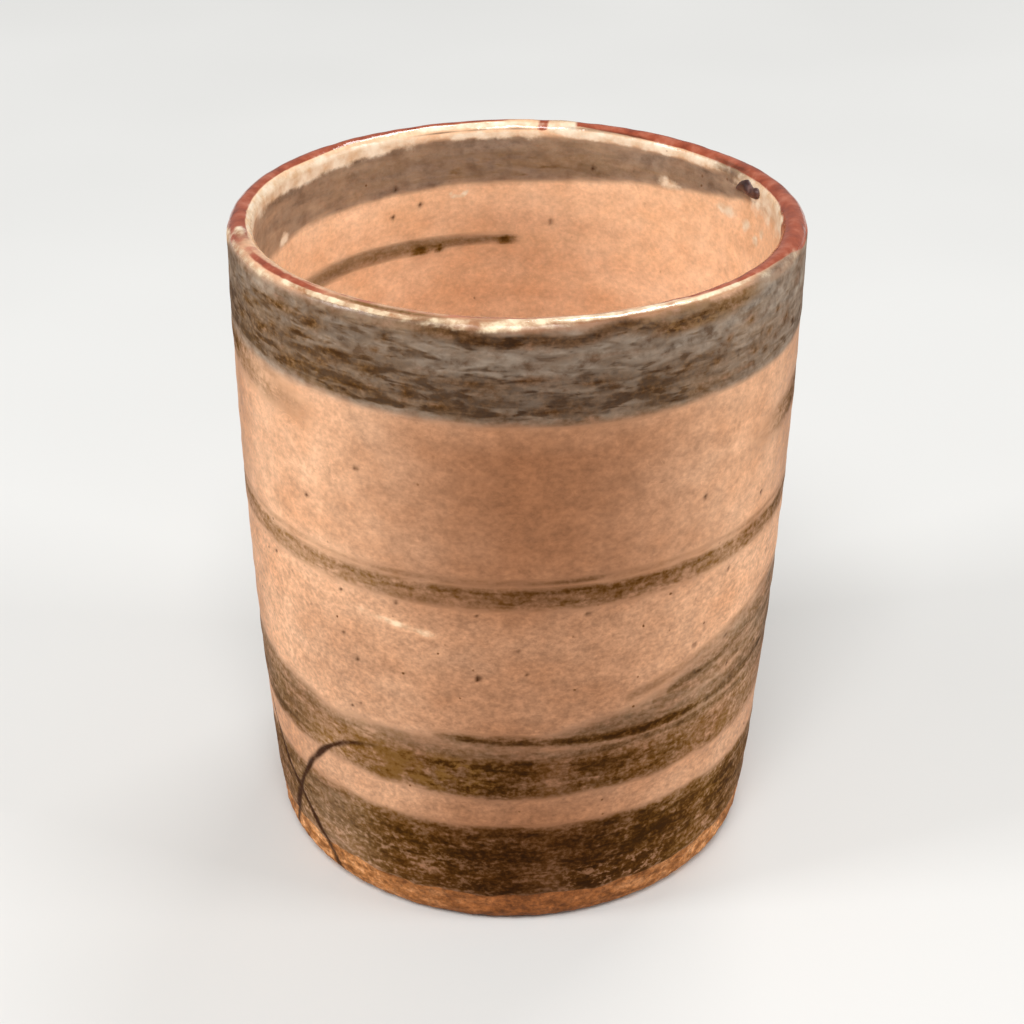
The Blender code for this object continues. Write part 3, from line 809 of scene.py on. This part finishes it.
def skin(name, rows, bag=False, masks=None, shading=None):
    """A closed mesh from rows of points in mm: a ring that meets itself, or a bag that a pole closes at
    the middle of its first row and of its last."""
    count = len(rows)
    poles = rows[[0, -1]].mean(1) if bag else np.zeros((0, 3))
    corners = np.concatenate([rows.reshape(-1, 3), poles]) * MM
    quads = grid_faces(count, joined=not bag)
    fans = np.zeros((0, 3), int)
    if bag:
        start = fan_faces(0, count * AROUND)[:, ::-1]
        fans = np.concatenate([start, fan_faces(count - 1, count * AROUND + 1)])
    triangles = np.concatenate([quads[:, [0, 1, 2]], quads[:, [0, 2, 3]], fans])
    if volume(corners, triangles) < 0:
        quads = quads[:, ::-1]
        fans = fans[:, ::-1]
    mesh = bpy.data.meshes.new(name)
    mesh.from_pydata(corners, [], quads.tolist() + fans.tolist())
    for mask, values in (masks or {}).items():
        layer = mesh.attributes.new(mask, "FLOAT", "POINT")
        flat = np.zeros(len(corners), np.float32)
        flat[:values.size] = values.ravel()
        layer.data.foreach_set("value", flat)
    mesh.shade_smooth()
    if shading is not None:
        mesh.normals_split_custom_set_from_vertices(shading.tolist())
    piece = bpy.data.objects.new(name, mesh)
    bpy.context.scene.collection.objects.link(piece)
    print(f"{name}: {len(triangles)} triangles, {abs(volume(corners, triangles)) / MM ** 3 / 1000:.2f} cm3")
    return piece


# %% Coat, lip and liner
LIP_START = OUTER_ROWS
LIP_END = OUTER_ROWS + LIP_ROWS
LAST_ROW = len(points) - 1
SKIN = 0.30
POLE_NORMALS = ((0.0, 0.0, 1.0), (0.0, 0.0, -1.0))


def cut_skin(name, first, last, back_count, bag=False):
    """Cut rows first to last out of the sheet and close them: the face, then a back SKIN inside it that
    has only some of the rows. A bag starts at its pole, so there both run the other way."""
    face_rows = np.arange(first, last + 1)
    back_rows = np.linspace(last, first, back_count).round().astype(int)
    if bag:
        face_rows = face_rows[::-1]
        back_rows = back_rows[::-1]
    rows = np.concatenate([points[face_rows], points[back_rows] - SKIN * normals[back_rows]])
    shading = np.concatenate([normals[face_rows], -normals[back_rows]]).reshape(-1, 3)
    if bag:
        shading = np.concatenate([shading, POLE_NORMALS])
    masks = {mask: values[face_rows] for mask, values in paint.items()}
    return skin(name, rows, bag, masks, shading)


coat = cut_skin("coat", 0, LIP_START, 9)
lip = cut_skin("lip", LIP_START, LIP_END, 9)
liner = cut_skin("liner", LIP_END, LAST_ROW, 22, bag=True)

# %% [markdown]
# ## Clay
# Under the skins is the clay itself. Only its foot shows: a bare, gritty edge, and underneath a ring
# that was cut with a loop tool while the cup turned upside down on the wheel. A foot alone would do for
# the eye, but the whole body is made, so that it is a solid of its own. Its rows are close together only
# where it can be seen.

# %% The profile of the clay
CLAY_STEP = 0.50
BARE_STEP = 0.16
BARE_LOW = 6.0
BARE_TOP = 8.0
BASE_ROUND = 2.7
FOOT_WIDTH = 5.0
FOOT_SLOPE = 1.0
FOOT_DEPTH = 2.4
FOOT_OUTER = wall_radius(BASE_ROUND) - BASE_ROUND
FOOT_INNER = FOOT_OUTER - FOOT_WIDTH


def stretch(start, end, count):
    """Points in a straight line from one (radius, height) to another, without the last one."""
    return np.linspace(start, end, count, endpoint=False)


def clay_profile():
    """Half-section of the clay: floor, hollow, lip, wall, bare foot, foot ring and underside."""
    corner = np.linspace(-np.pi / 2, 0, 9)[1:]
    hollow = np.linspace(CORNER_HEIGHT, LIP_LINE, 12)[1:]
    crest_angle = np.linspace(np.pi, 0, 12)[1:]
    wall = np.concatenate([np.linspace(LIP_LINE, BARE_TOP, 14)[1:],
                           np.linspace(BARE_TOP, BASE_ROUND, 22)[1:]])
    wall_step = BARE_STEP + (CLAY_STEP - BARE_STEP) * ease(BARE_LOW, BARE_TOP, wall)
    toe = np.linspace(0, np.pi / 2, 16)[1:]
    lip_middle = wall_radius(LIP_LINE) - LIP_HALF
    return np.concatenate([
        stretch((CLAY_STEP, FLOOR_HEIGHT - FLOOR_DISH - CLAY_STEP),
                (CORNER_RADIUS, FLOOR_HEIGHT - CLAY_STEP), 8),
        np.stack([CORNER_RADIUS + (FLOOR_ROUND + CLAY_STEP) * np.cos(corner),
                  CORNER_HEIGHT + (FLOOR_ROUND + CLAY_STEP) * np.sin(corner)], 1),
        np.stack([bore_radius(hollow) + CLAY_STEP, hollow], 1),
        np.stack([lip_middle + (LIP_HALF - CLAY_STEP) * np.cos(crest_angle),
                  LIP_LINE + (LIP_HALF - CLAY_STEP) * np.sin(crest_angle)], 1),
        np.stack([wall_radius(wall) - wall_step, wall], 1),
        np.stack([FOOT_OUTER + (BASE_ROUND - BARE_STEP) * np.cos(toe),
                  BASE_ROUND - BASE_ROUND * np.sin(toe)], 1),
        stretch((FOOT_OUTER - 0.3, 0.0), (FOOT_INNER, 0.0), 12),
        stretch((FOOT_INNER, 0.0), (FOOT_INNER - FOOT_SLOPE, FOOT_DEPTH), 8),
        stretch((FOOT_INNER - FOOT_SLOPE, FOOT_DEPTH), (POLE_GAP, FOOT_DEPTH), 46),
    ])


clay_line = clay_profile()
print("clay profile of", len(clay_line), "points, foot ring", FOOT_WIDTH, "mm wide")

# %% The clay body and its trimmed foot
GRIT_BELOW = 7.5
OUTER_SIDE = 30.0
GRIT_RELIEF = 0.045
TRIM_RELIEF = 0.07
TRIM_PITCH = 1.5
TRIM_RADIUS = 26.0
TRIM_ABOVE = 2.0
FLAT_BELOW = 0.05

clay_radius = np.repeat(clay_line[:, :1], AROUND, 1)
clay_height = np.repeat(clay_line[:, 1:], AROUND, 1)
on_foot = (clay_line[:, 1] < GRIT_BELOW) & (clay_line[:, 0] > OUTER_SIDE)
is_foot = np.arange(len(clay_line))[:, None] >= np.argmax(on_foot)
grit = blur(np.random.default_rng(8).normal(size=clay_radius.shape), 2)
underside = (clay_height > TRIM_ABOVE) * (clay_radius < TRIM_RADIUS)
trimming = np.sin(2 * np.pi * clay_radius / TRIM_PITCH + turn) * underside
clay_relief = GRIT_RELIEF * grit / grit.std() + TRIM_RELIEF * trimming
clay_relief = is_foot * clay_relief * (clay_height > FLAT_BELOW)
side_r, side_h = across_profile(clay_radius, clay_height)
clay_rows = place(clay_radius + clay_relief * side_r, clay_height + clay_relief * side_h)
clay_rows[..., 2] = np.maximum(clay_rows[..., 2], 0.0)
# The clay takes the same front darkening, partly toasting and partly painted shade.
clay_masks = {"blush_and_shade": np.broadcast_to(toasted_and_shaded, clay_radius.shape),
              "stain": ease(0.8, 0.1, crack_distance(clay_height)) * (clay_radius > OUTER_SIDE)}
clay = skin("clay", clay_rows, True, clay_masks)

# %% [markdown]
# ## Drop
# Where the inner stroke began, the full brush left a drop of slip. It stands off the wall and has a
# blunt end and a thin one. It could be a squashed ball; as ovals along a bent spine it can take an
# outline of its own and still lie on the curved wall.

# %% A thick drop of slip on the inner wall
DROP_BEARING = 111.8
DROP_HEIGHT = 87.5
DROP_LONG = 6.2
DROP_THICK = 0.62


def drop_rows():
    """A slug on a bent spine: flat-backed ovals, scaled by (1 - |2t - 1|^6)^(1/2) at its ends."""
    far = 0.5 - 0.5 * np.cos(np.pi * np.linspace(0.03, 0.97, 28))[:, None]
    spine = np.interp(far, (0, 0.15, 0.35, 0.6, 0.8, 1), (0.40, 0.30, 0.0, 0.30, 0.0, -0.55))
    tall = np.interp(far, (0, 0.12, 0.32, 0.6, 0.8, 1), (0.80, 0.86, 0.66, 1.05, 0.80, 0.35))
    closing = np.sqrt(1 - np.abs(2 * far - 1) ** 6)
    uneven = 1 + 0.10 * np.sin(9 * far + 2 * turn) * np.sin(turn)
    height = DROP_HEIGHT + spine + tall * closing * uneven * np.cos(turn)
    lift = np.maximum(DROP_THICK * closing * uneven * np.sin(turn) + 0.08, -0.12)
    out = bore_radius(np.minimum(height, LIP_LINE)) - lift
    angle = math.radians(DROP_BEARING) + DROP_LONG * (far - 0.5) / bore_radius(DROP_HEIGHT)
    lean = LEAN * (height - HEIGHT / 2)
    return np.stack([out * np.sin(angle) + lean, -out * np.cos(angle), height], -1)


drop = skin("drop", drop_rows(), bag=True)

# %% [markdown]
# ## Finishes
# Each finish is a small net of nodes. One helper adds a node, sets its values and makes its links; a
# value that is another node's output becomes a link. Colours are written as hex values, as a colour
# picker shows them, and turned to linear light once.

# %% Helpers for finishes


def linear(code):
    """Linear red, green, blue and alpha of an sRGB hex colour."""
    parts = [int(code[index:index + 2], 16) / 255 for index in (1, 3, 5)]
    return [part / 12.92 if part <= 0.04045 else ((part + 0.055) / 1.055) ** 2.4 for part in parts] + [1.0]


def feed(tree, made, inputs):
    """Give a node its inputs by name: another node's output as a link, a number or hex colour as a value."""
    for name, value in inputs.items():
        socket = next(item for item in made.inputs if name in (item.identifier, item.name))
        if isinstance(value, bpy.types.NodeSocket):
            tree.links.new(value, socket)
        else:
            socket.default_value = linear(value) if isinstance(value, str) else value


def node(tree, kind, settings=None, inputs=(), stops=(), out=None):
    """Add a node and return one output, the first in use unless named. Inputs go to the sockets in use,
    in their order, or by name where they come as a dictionary; stops are those of a colour ramp."""
    made = tree.nodes.new(kind)
    for name, value in (settings or {}).items():
        setattr(made, name, value)
    if not isinstance(inputs, dict):
        inputs = dict(zip((item.identifier for item in made.inputs if item.enabled), inputs))
    feed(tree, made, inputs)
    for index, (position, code) in enumerate(stops):
        ramp = made.color_ramp.elements
        mark = ramp[index] if index < 2 else ramp.new(position)
        mark.position = position
        mark.color = linear(code)
    return made.outputs[out] if out else next(item for item in made.outputs if item.enabled)


def per_mm(size):
    """Texture scale for a pattern whose features are this many mm across."""
    return 1 / (size * MM)


def new_finish(name):
    """An empty finish with its node tree, its shader and the object's own coordinates."""
    finish = bpy.data.materials.new(name)
    finish.use_nodes = True
    tree = finish.node_tree
    return finish, tree, tree.nodes["Principled BSDF"], node(tree, "ShaderNodeTexCoord", out="Object")


print("white is", linear("#FFFFFF"))

# %% [markdown]
# ## Glaze over iron slip
# A feldspar glaze is a thin layer of glass, cloudy with tiny bubbles. The eye sees a pale ground with a
# fine grain, darker where the flame toasted it, and brushed slip melted into the glass. Painted images
# would be one way; here the masks of the sheet say where each thing is, and noise of the right size
# breaks it up. The same net serves the three skins, and only their gloss and evenness differ.

# %% Patterns of the glaze
BLEND = ("ShaderNodeMix", {"data_type": "RGBA"})
STAIN_THROUGH = ("ShaderNodeMix", {"data_type": "RGBA", "blend_type": "MULTIPLY"})
RAMP = ("ShaderNodeValToRGB", {})
STRETCH = ("ShaderNodeMapRange", {})
SOFT_STEP = ("ShaderNodeMapRange", {"interpolation_type": "SMOOTHSTEP"})
TIMES = ("ShaderNodeMath", {"operation": "MULTIPLY"})
TIMES_PLUS = ("ShaderNodeMath", {"operation": "MULTIPLY_ADD"})
ATTRIBUTE = "ShaderNodeAttribute"
NOISE_RANGE = (0.3, 0.7)
# Hairs of a brush leave lines 0.3 mm apart, too fine to show, so streaks are drawn 1.1 mm tall.
PATTERNS = {  # size across and up in mm, detail, roughness, distortion
    "mottle": (9.0, 7.0, 4.0, 0.55),
    "cloud": (2.6, 2.0, 4.0, 0.60),
    "grain": (0.75, 0.60, 2.0, 0.60),
    "smear": (9.0, 2.0, 4.0, 0.55, 0.5),
    "streak": (5.0, 1.1, 1.0, 0.50, 0.8),
    "dash": (2.6, 0.8, 2.0, 0.55, 0.3),
    "curl": (4.0, 3.0, 2.0, 0.50, 1.4),
}


def sized_noise(tree, where, across, up, detail, roughness, distortion=0.0):
    """Noise whose features are this many mm across the wall and up it."""
    scale = (per_mm(across), per_mm(across), per_mm(up))
    placed = node(tree, "ShaderNodeMapping", inputs={"Vector": where, "Scale": scale})
    return node(tree, "ShaderNodeTexNoise", inputs={
        "Vector": placed, "Scale": 1.0, "Detail": detail, "Roughness": roughness, "Distortion": distortion})


print("patterns:", ", ".join(f"{key} {row[0]} by {row[1]} mm" for key, row in PATTERNS.items()))

# %% The pale ground and its blush


def ground_colour(tree, pattern, mask, mottled):
    """Pale feldspar ground: warmer inside and paler there as painted light, browner where toasting and
    painted shade darken it, with grain and fine pale curls.
    """
    outer = node(tree, *RAMP, (pattern["mottle"],), stops=((0.30, "#DEA57D"), (0.70, "#F0BD97")))
    # The inside ramp is paler than the outside one: that paler tone is painted light in the hollow.
    inner = node(tree, *RAMP, (pattern["mottle"],), stops=((0.30, "#F2C398"), (0.70, "#FED6B0")))
    colour = node(tree, *BLEND, (mask["inside"], outer, inner))
    # Toasting and painted shade brown the ground towards #8E5D3E.
    colour = node(tree, *BLEND, (mask["blush_and_shade"], colour, "#8E5D3E"))
    gritty = node(tree, *TIMES_PLUS, (mask["fleck"], 0.45, 1.0))
    fine = node(tree, *STRETCH, (pattern["grain"], *NOISE_RANGE, -mottled, mottled))
    fine = node(tree, *TIMES_PLUS, (fine, gritty, 1.0))
    coarse = node(tree, *STRETCH, (pattern["cloud"], *NOISE_RANGE, 1 - mottled, 1 + mottled))
    shade = node(tree, *TIMES, (fine, coarse))
    curls = node(tree, "ShaderNodeMath", {"operation": "COMPARE"}, (pattern["curl"], 0.5, 0.008))
    in_patch = node(tree, *SOFT_STEP, (pattern["smear"], 0.50, 0.60))
    curls = node(tree, *TIMES, (curls, in_patch))
    shade = node(tree, *TIMES_PLUS, (curls, 0.8 * mottled, shade))
    return node(tree, "ShaderNodeHueSaturation", inputs={"Value": shade, "Color": colour})


print("ground from #DEA57D to #F0BD97, toasted to #8E5D3E")

# %% How much slip lies where


def slip_body(tree, pattern, mask, streaky):
    """Slip with its streaks: the load, plus noise times a share of it that a full brush and milky glass
    make smaller, less what flecks skipped. Also returned as it is before the finest grain."""
    body = mask["load"]
    carried = node(tree, "ShaderNodeMath", {"operation": "POWER"}, (body, 0.72))
    squared = node(tree, *TIMES, (body, body))
    covered = node(tree, *TIMES_PLUS, (squared, -0.20, 1.0))
    carried = node(tree, *TIMES, (carried, covered))
    calm = node(tree, *TIMES_PLUS, (mask["grey"], -0.35, 1.0))
    dashes = node(tree, *SOFT_STEP, (pattern["dash"], 0.52, 0.72))
    dashes = node(tree, *TIMES, (dashes, mask["load"]))
    dashes = node(tree, *TIMES, (dashes, calm))
    body = node(tree, *TIMES_PLUS, (dashes, 0.9 * streaky, body))
    for key, part in (("streak", 0.6), ("smear", 0.4), ("cloud", 0.9)):
        uneven = node(tree, *STRETCH, (pattern[key], *NOISE_RANGE, -part * streaky, part * streaky))
        body = node(tree, *TIMES_PLUS, (uneven, carried, body))
    smooth_body = body
    carried = node(tree, *TIMES, (carried, calm))
    grainy = node(tree, *STRETCH, (pattern["grain"], *NOISE_RANGE, -1.2 * streaky, 1.2 * streaky))
    body = node(tree, *TIMES_PLUS, (grainy, carried, body))
    thinner = node(tree, *TIMES_PLUS, (pattern["cloud"], 0.8, pattern["grain"]))
    skipped = node(tree, *SOFT_STEP, (thinner, 0.88, 0.72))
    skipped = node(tree, *TIMES, (skipped, mask["fleck"]))
    kept = node(tree, *TIMES_PLUS, (skipped, -0.75, 1.0))
    return node(tree, *TIMES, (body, kept)), smooth_body


print("slip is broken up by streaks, smears, clouds and grain")

# %% Brushed slip, from a thin wash to nearly black


def slip_over(tree, pattern, mask, ground, streaky):
    """Slip on the ground: it multiplies what lies under it by a tint that darkens with its thickness,
    turns golden in places, and grows a milky veil where the glass over it is cloudy."""
    body, smooth_body = slip_body(tree, pattern, mask, streaky)
    thickness = node(tree, *TIMES, (body, 0.75))
    tint = node(tree, *RAMP, (thickness,), stops=(
        (0.00, "#FFFFFF"), (1.00, "#483906"), (0.15, "#D4D3CE"), (0.30, "#B0AC9C"), (0.45, "#91855C"),
        (0.60, "#766526"), (0.75, "#5E4D10")))
    colour = node(tree, *STAIN_THROUGH, (1.0, ground, tint))

    golden = node(tree, *SOFT_STEP, (body, 0.95, 0.50))
    golden = node(tree, *TIMES, (golden, mask["ochre"]))
    patches = node(tree, *SOFT_STEP, (pattern["cloud"], 0.42, 0.60))
    golden = node(tree, *TIMES, (golden, patches))
    colour = node(tree, *BLEND, (golden, colour, "#7C5626"))

    opal = node(tree, *RAMP, (pattern["cloud"],), stops=((0.32, "#5C4A3C"), (0.68, "#B8A897")))
    opal_inside = node(tree, *RAMP, (pattern["cloud"],), stops=((0.30, "#705C4C"), (0.70, "#A6927E")))
    opal = node(tree, *BLEND, (mask["inside"], opal, opal_inside))
    milky = node(tree, *STRETCH, (pattern["smear"], *NOISE_RANGE, 1 - streaky, 1 + streaky))
    milky = node(tree, *TIMES, (milky, mask["grey"]))
    clear = node(tree, *SOFT_STEP, (smooth_body, 1.12, 0.56, 0.15))
    milky = node(tree, *TIMES, (milky, clear))
    return node(tree, *BLEND, (milky, colour, opal))


print("slip stains down to #483906 of the ground")

# %% Iron, cream with painted highlights, and stain


def marks_over(tree, pattern, mask, colour):
    """Marks with broken edges: each shows where its mask plus some noise passes a soft threshold."""
    reds = node(tree, *RAMP, (pattern["cloud"],), stops=(
        (0.30, "#82371F"), (0.70, "#B86A50"), (0.50, "#A04C30")))
    # The pale ends of the two cream ramps also serve as painted highlights on the lip.
    crust_and_glint = node(tree, *RAMP, (pattern["cloud"],), stops=((0.36, "#B07C56"), (0.62, "#F6E0BC")))
    pooled_and_glint = node(tree, *RAMP, (pattern["cloud"],), stops=((0.34, "#DFBE98"), (0.66, "#FDEFD6")))
    creams_and_glints = node(tree, *BLEND, (mask["inside"], crust_and_glint, pooled_and_glint))
    for key, tint, edge_noise, jitter, start, end in (
            ("iron", reds, "cloud", 0.8, 0.16, 0.62), ("cream_and_glint", creams_and_glints, "cloud", 1.0, 0.18, 0.66),
            ("stain", "#3C1E06", "grain", 0.3, 0.05, 0.80)):
        ragged_mask = node(tree, *TIMES_PLUS, (pattern[edge_noise], jitter, mask[key]))
        shown = node(tree, *SOFT_STEP, (ragged_mask, start + jitter / 2, end + jitter / 2))
        present = node(tree, *SOFT_STEP, (mask[key], 0.0, 0.20))
        shown = node(tree, *TIMES, (shown, present))
        colour = node(tree, *BLEND, (shown, colour, tint))
    return colour


print("iron from #82371F to #B86A50")

# %% The glaze finish for the coat, the lip and the liner
SPECK_SPACING = 2.2
PIT_BUMP = 0.08


def glaze(name, shine, streaky, wet_shine=None):
    """Feldspar glaze: ground, slip, marks and specks; satin on the walls and wet over the lip."""
    finish, tree, shader, where = new_finish(name)
    pattern = {key: sized_noise(tree, where, *row) for key, row in PATTERNS.items()}
    mask = {key: node(tree, ATTRIBUTE, {"attribute_name": key}, out="Fac") for key in paint}
    colour = ground_colour(tree, pattern, mask, 0.36 * streaky)
    colour = slip_over(tree, pattern, mask, colour, streaky)
    colour = marks_over(tree, pattern, mask, colour)

    cells = node(tree, "ShaderNodeTexVoronoi", inputs={"Vector": where, "Scale": per_mm(SPECK_SPACING)})
    near = node(tree, *TIMES_PLUS, (pattern["grain"], 0.16, cells))
    speck = node(tree, *SOFT_STEP, (near, 0.20, 0.12))
    often = node(tree, *TIMES_PLUS, (mask["fleck"], 0.35, cells.node.outputs["Color"]))
    rare = node(tree, *SOFT_STEP, (often, 0.60, 1.0))
    speck = node(tree, *TIMES, (speck, rare))
    colour = node(tree, *BLEND, (speck, colour, "#67401F"))

    rough = node(tree, *STRETCH, (pattern["grain"], *NOISE_RANGE, 0.44, 0.58))
    rough = node(tree, *TIMES_PLUS, (mask["wet"], -0.42, rough))
    rough = node(tree, *TIMES_PLUS, (mask["load"], 0.25, rough))
    pits = node(tree, "ShaderNodeBump", inputs={
        "Height": pattern["grain"], "Strength": 0.35, "Distance": PIT_BUMP * MM})
    feed(tree, shader, {"Base Color": colour, "Roughness": rough, "Normal": pits,
                        "Specular IOR Level": wet_shine or shine})
    if wet_shine:
        sheen = node(tree, *TIMES_PLUS, (mask["wet"], wet_shine - shine, shine))
        feed(tree, shader, {"Specular IOR Level": sheen})
    return finish


coat.data.materials.append(glaze("feldspar_glaze_over_iron_slip", 0.05, 0.42))
lip.data.materials.append(glaze("thin_glaze_over_iron_lip", 0.05, 0.36, wet_shine=0.80))
liner.data.materials.append(glaze("feldspar_liner_glaze", 0.05, 0.29))
print("glaze finishes:", [item.name for item in bpy.data.materials if "glaze" in item.name])

# %% [markdown]
# ## Bare stoneware
# The foot was wiped clean before firing. The clay is coarse and orange from its iron, with darker and
# lighter grains of grit, and it is darker in front, as the glaze above it is, from toasting and painted
# shade. It is matt. One colour with a bump would look like plastic, so two sizes of noise darken and
# lighten it too.

# %% The clay finish
GRIT_BUMP = 0.12


def bare_clay(name):
    """Bare fired stoneware: a warm mottle, dark and pale grit, and the glaze's toasting and painted shade.
    """
    finish, tree, shader, where = new_finish(name)
    mottle = sized_noise(tree, where, 2.4, 1.4, 5.0, 0.65)
    grit_noise = sized_noise(tree, where, 0.7, 0.6, 3.0, 0.70)
    toast_and_shade, crack_line = (node(tree, ATTRIBUTE, {"attribute_name": key}, out="Fac") for key in clay_masks)
    colour = node(tree, *RAMP, (mottle,), stops=((0.30, "#9E5F2A"), (0.70, "#D6A070"), (0.50, "#BA7C48")))
    # Toasting and painted shade brown the clay towards #824B25.
    colour = node(tree, *BLEND, (toast_and_shade, colour, "#824B25"))
    coarse = node(tree, *STRETCH, (mottle, *NOISE_RANGE, 0.54, 1.46))
    fine = node(tree, *STRETCH, (grit_noise, *NOISE_RANGE, 0.55, 1.45))
    shade = node(tree, *TIMES, (fine, coarse))
    colour = node(tree, "ShaderNodeHueSaturation", inputs={"Value": shade, "Color": colour})
    colour = node(tree, *BLEND, (crack_line, colour, "#3E2410"))
    rough = node(tree, *STRETCH, (grit_noise, *NOISE_RANGE, 0.70, 0.92))
    bumps = node(tree, "ShaderNodeBump", inputs={
        "Height": grit_noise, "Strength": 0.5, "Distance": GRIT_BUMP * MM})
    feed(tree, shader, {"Base Color": colour, "Roughness": rough, "Normal": bumps,
                        "Specular IOR Level": 0.15})
    return finish


clay.data.materials.append(bare_clay("bare_fired_stoneware"))
print("clay finish made, grit drawn 0.7 mm across")

# %% [markdown]
# ## Pooled slip
# In the drop the slip is so thick that it melted into a dark purple-brown glass with a bright gloss. The
# glaze's net could serve here too, but a drop has no brush marks, so slow clouds of two browns are enough.

# %% The finish of the drop
CLOUD_SIZE = 1.5


def pooled_slip(name):
    """Thick iron slip, melted to a dark glass: slow clouds of brown and purple under a gloss."""
    finish, tree, shader, where = new_finish(name)
    clouds = node(tree, "ShaderNodeTexNoise", inputs={
        "Vector": where, "Scale": per_mm(CLOUD_SIZE), "Detail": 5.0, "Roughness": 0.6})
    colour = node(tree, *RAMP, (clouds,), stops=((0.30, "#2E1A18"), (0.70, "#7A5C54"), (0.50, "#4A2F2C")))
    rough = node(tree, *STRETCH, (clouds, *NOISE_RANGE, 0.28, 0.48))
    feed(tree, shader, {"Base Color": colour, "Roughness": rough})
    return finish


drop.data.materials.append(pooled_slip("pooled_iron_slip"))
print("drop finish made, clouds of", CLOUD_SIZE, "mm")

# %% [markdown]
# ## Floor
# The cup stands on a sheet of plain pale paper. It could curve up behind as a studio backdrop does, but
# the camera looks down, so a flat sheet fills the view. It only has to catch the soft shadow.

# %% A pale floor
FLOOR_REACH = 3000.0
PAPER_CLOUDS = 160.0


def paper(name):
    """Matt white paper with a faint, slow unevenness of tone."""
    finish, tree, shader, where = new_finish(name)
    tone = node(tree, "ShaderNodeTexNoise", inputs={
        "Vector": where, "Scale": per_mm(PAPER_CLOUDS), "Detail": 2.0})
    colour = node(tree, *RAMP, (tone,), stops=((0.3, "#D8D8D6"), (0.7, "#DEDEDC")))
    feed(tree, shader, {"Base Color": colour, "Roughness": 0.9, "Specular IOR Level": 0.1})
    return finish


floor_mesh = bpy.data.meshes.new("floor")
edge_at = FLOOR_REACH * MM
floor_mesh.from_pydata([(-edge_at, -edge_at, 0), (edge_at, -edge_at, 0), (edge_at, edge_at, 0),
                        (-edge_at, edge_at, 0)], [], [(0, 1, 2, 3)])
floor_mesh.materials.append(paper("white_paper"))
floor = bpy.data.objects.new("floor", floor_mesh)
bpy.context.scene.collection.objects.link(floor)
print("floor laid,", 2 * FLOOR_REACH / 1000, "m wide")

# %% [markdown]
# ## Tie the skins to the frame
# Nothing on a cup moves, so every piece rides on the one body. Each piece names the CAD solids that it
# stands for and the material slot of the record that it belongs to.

# %% Ride and replace
PIECES = (
    (clay, "stoneware_clay", ("clay_body",)),
    (coat, "pale_glaze", ("outer_glaze", "upper_band", "waist_line", "waist_band", "lower_veil",
                          "lower_band", "base_band", "shoulder_stroke")),
    (lip, "iron_lip", ("lip_glaze",)),
    (liner, "liner_glaze", ("inner_glaze", "inner_band", "inner_stroke")),
    (drop, "pooled_slip", ("slip_drop",)),
)
for piece, slot_name, nodes in PIECES:
    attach(piece, "root")
    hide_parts(*nodes)
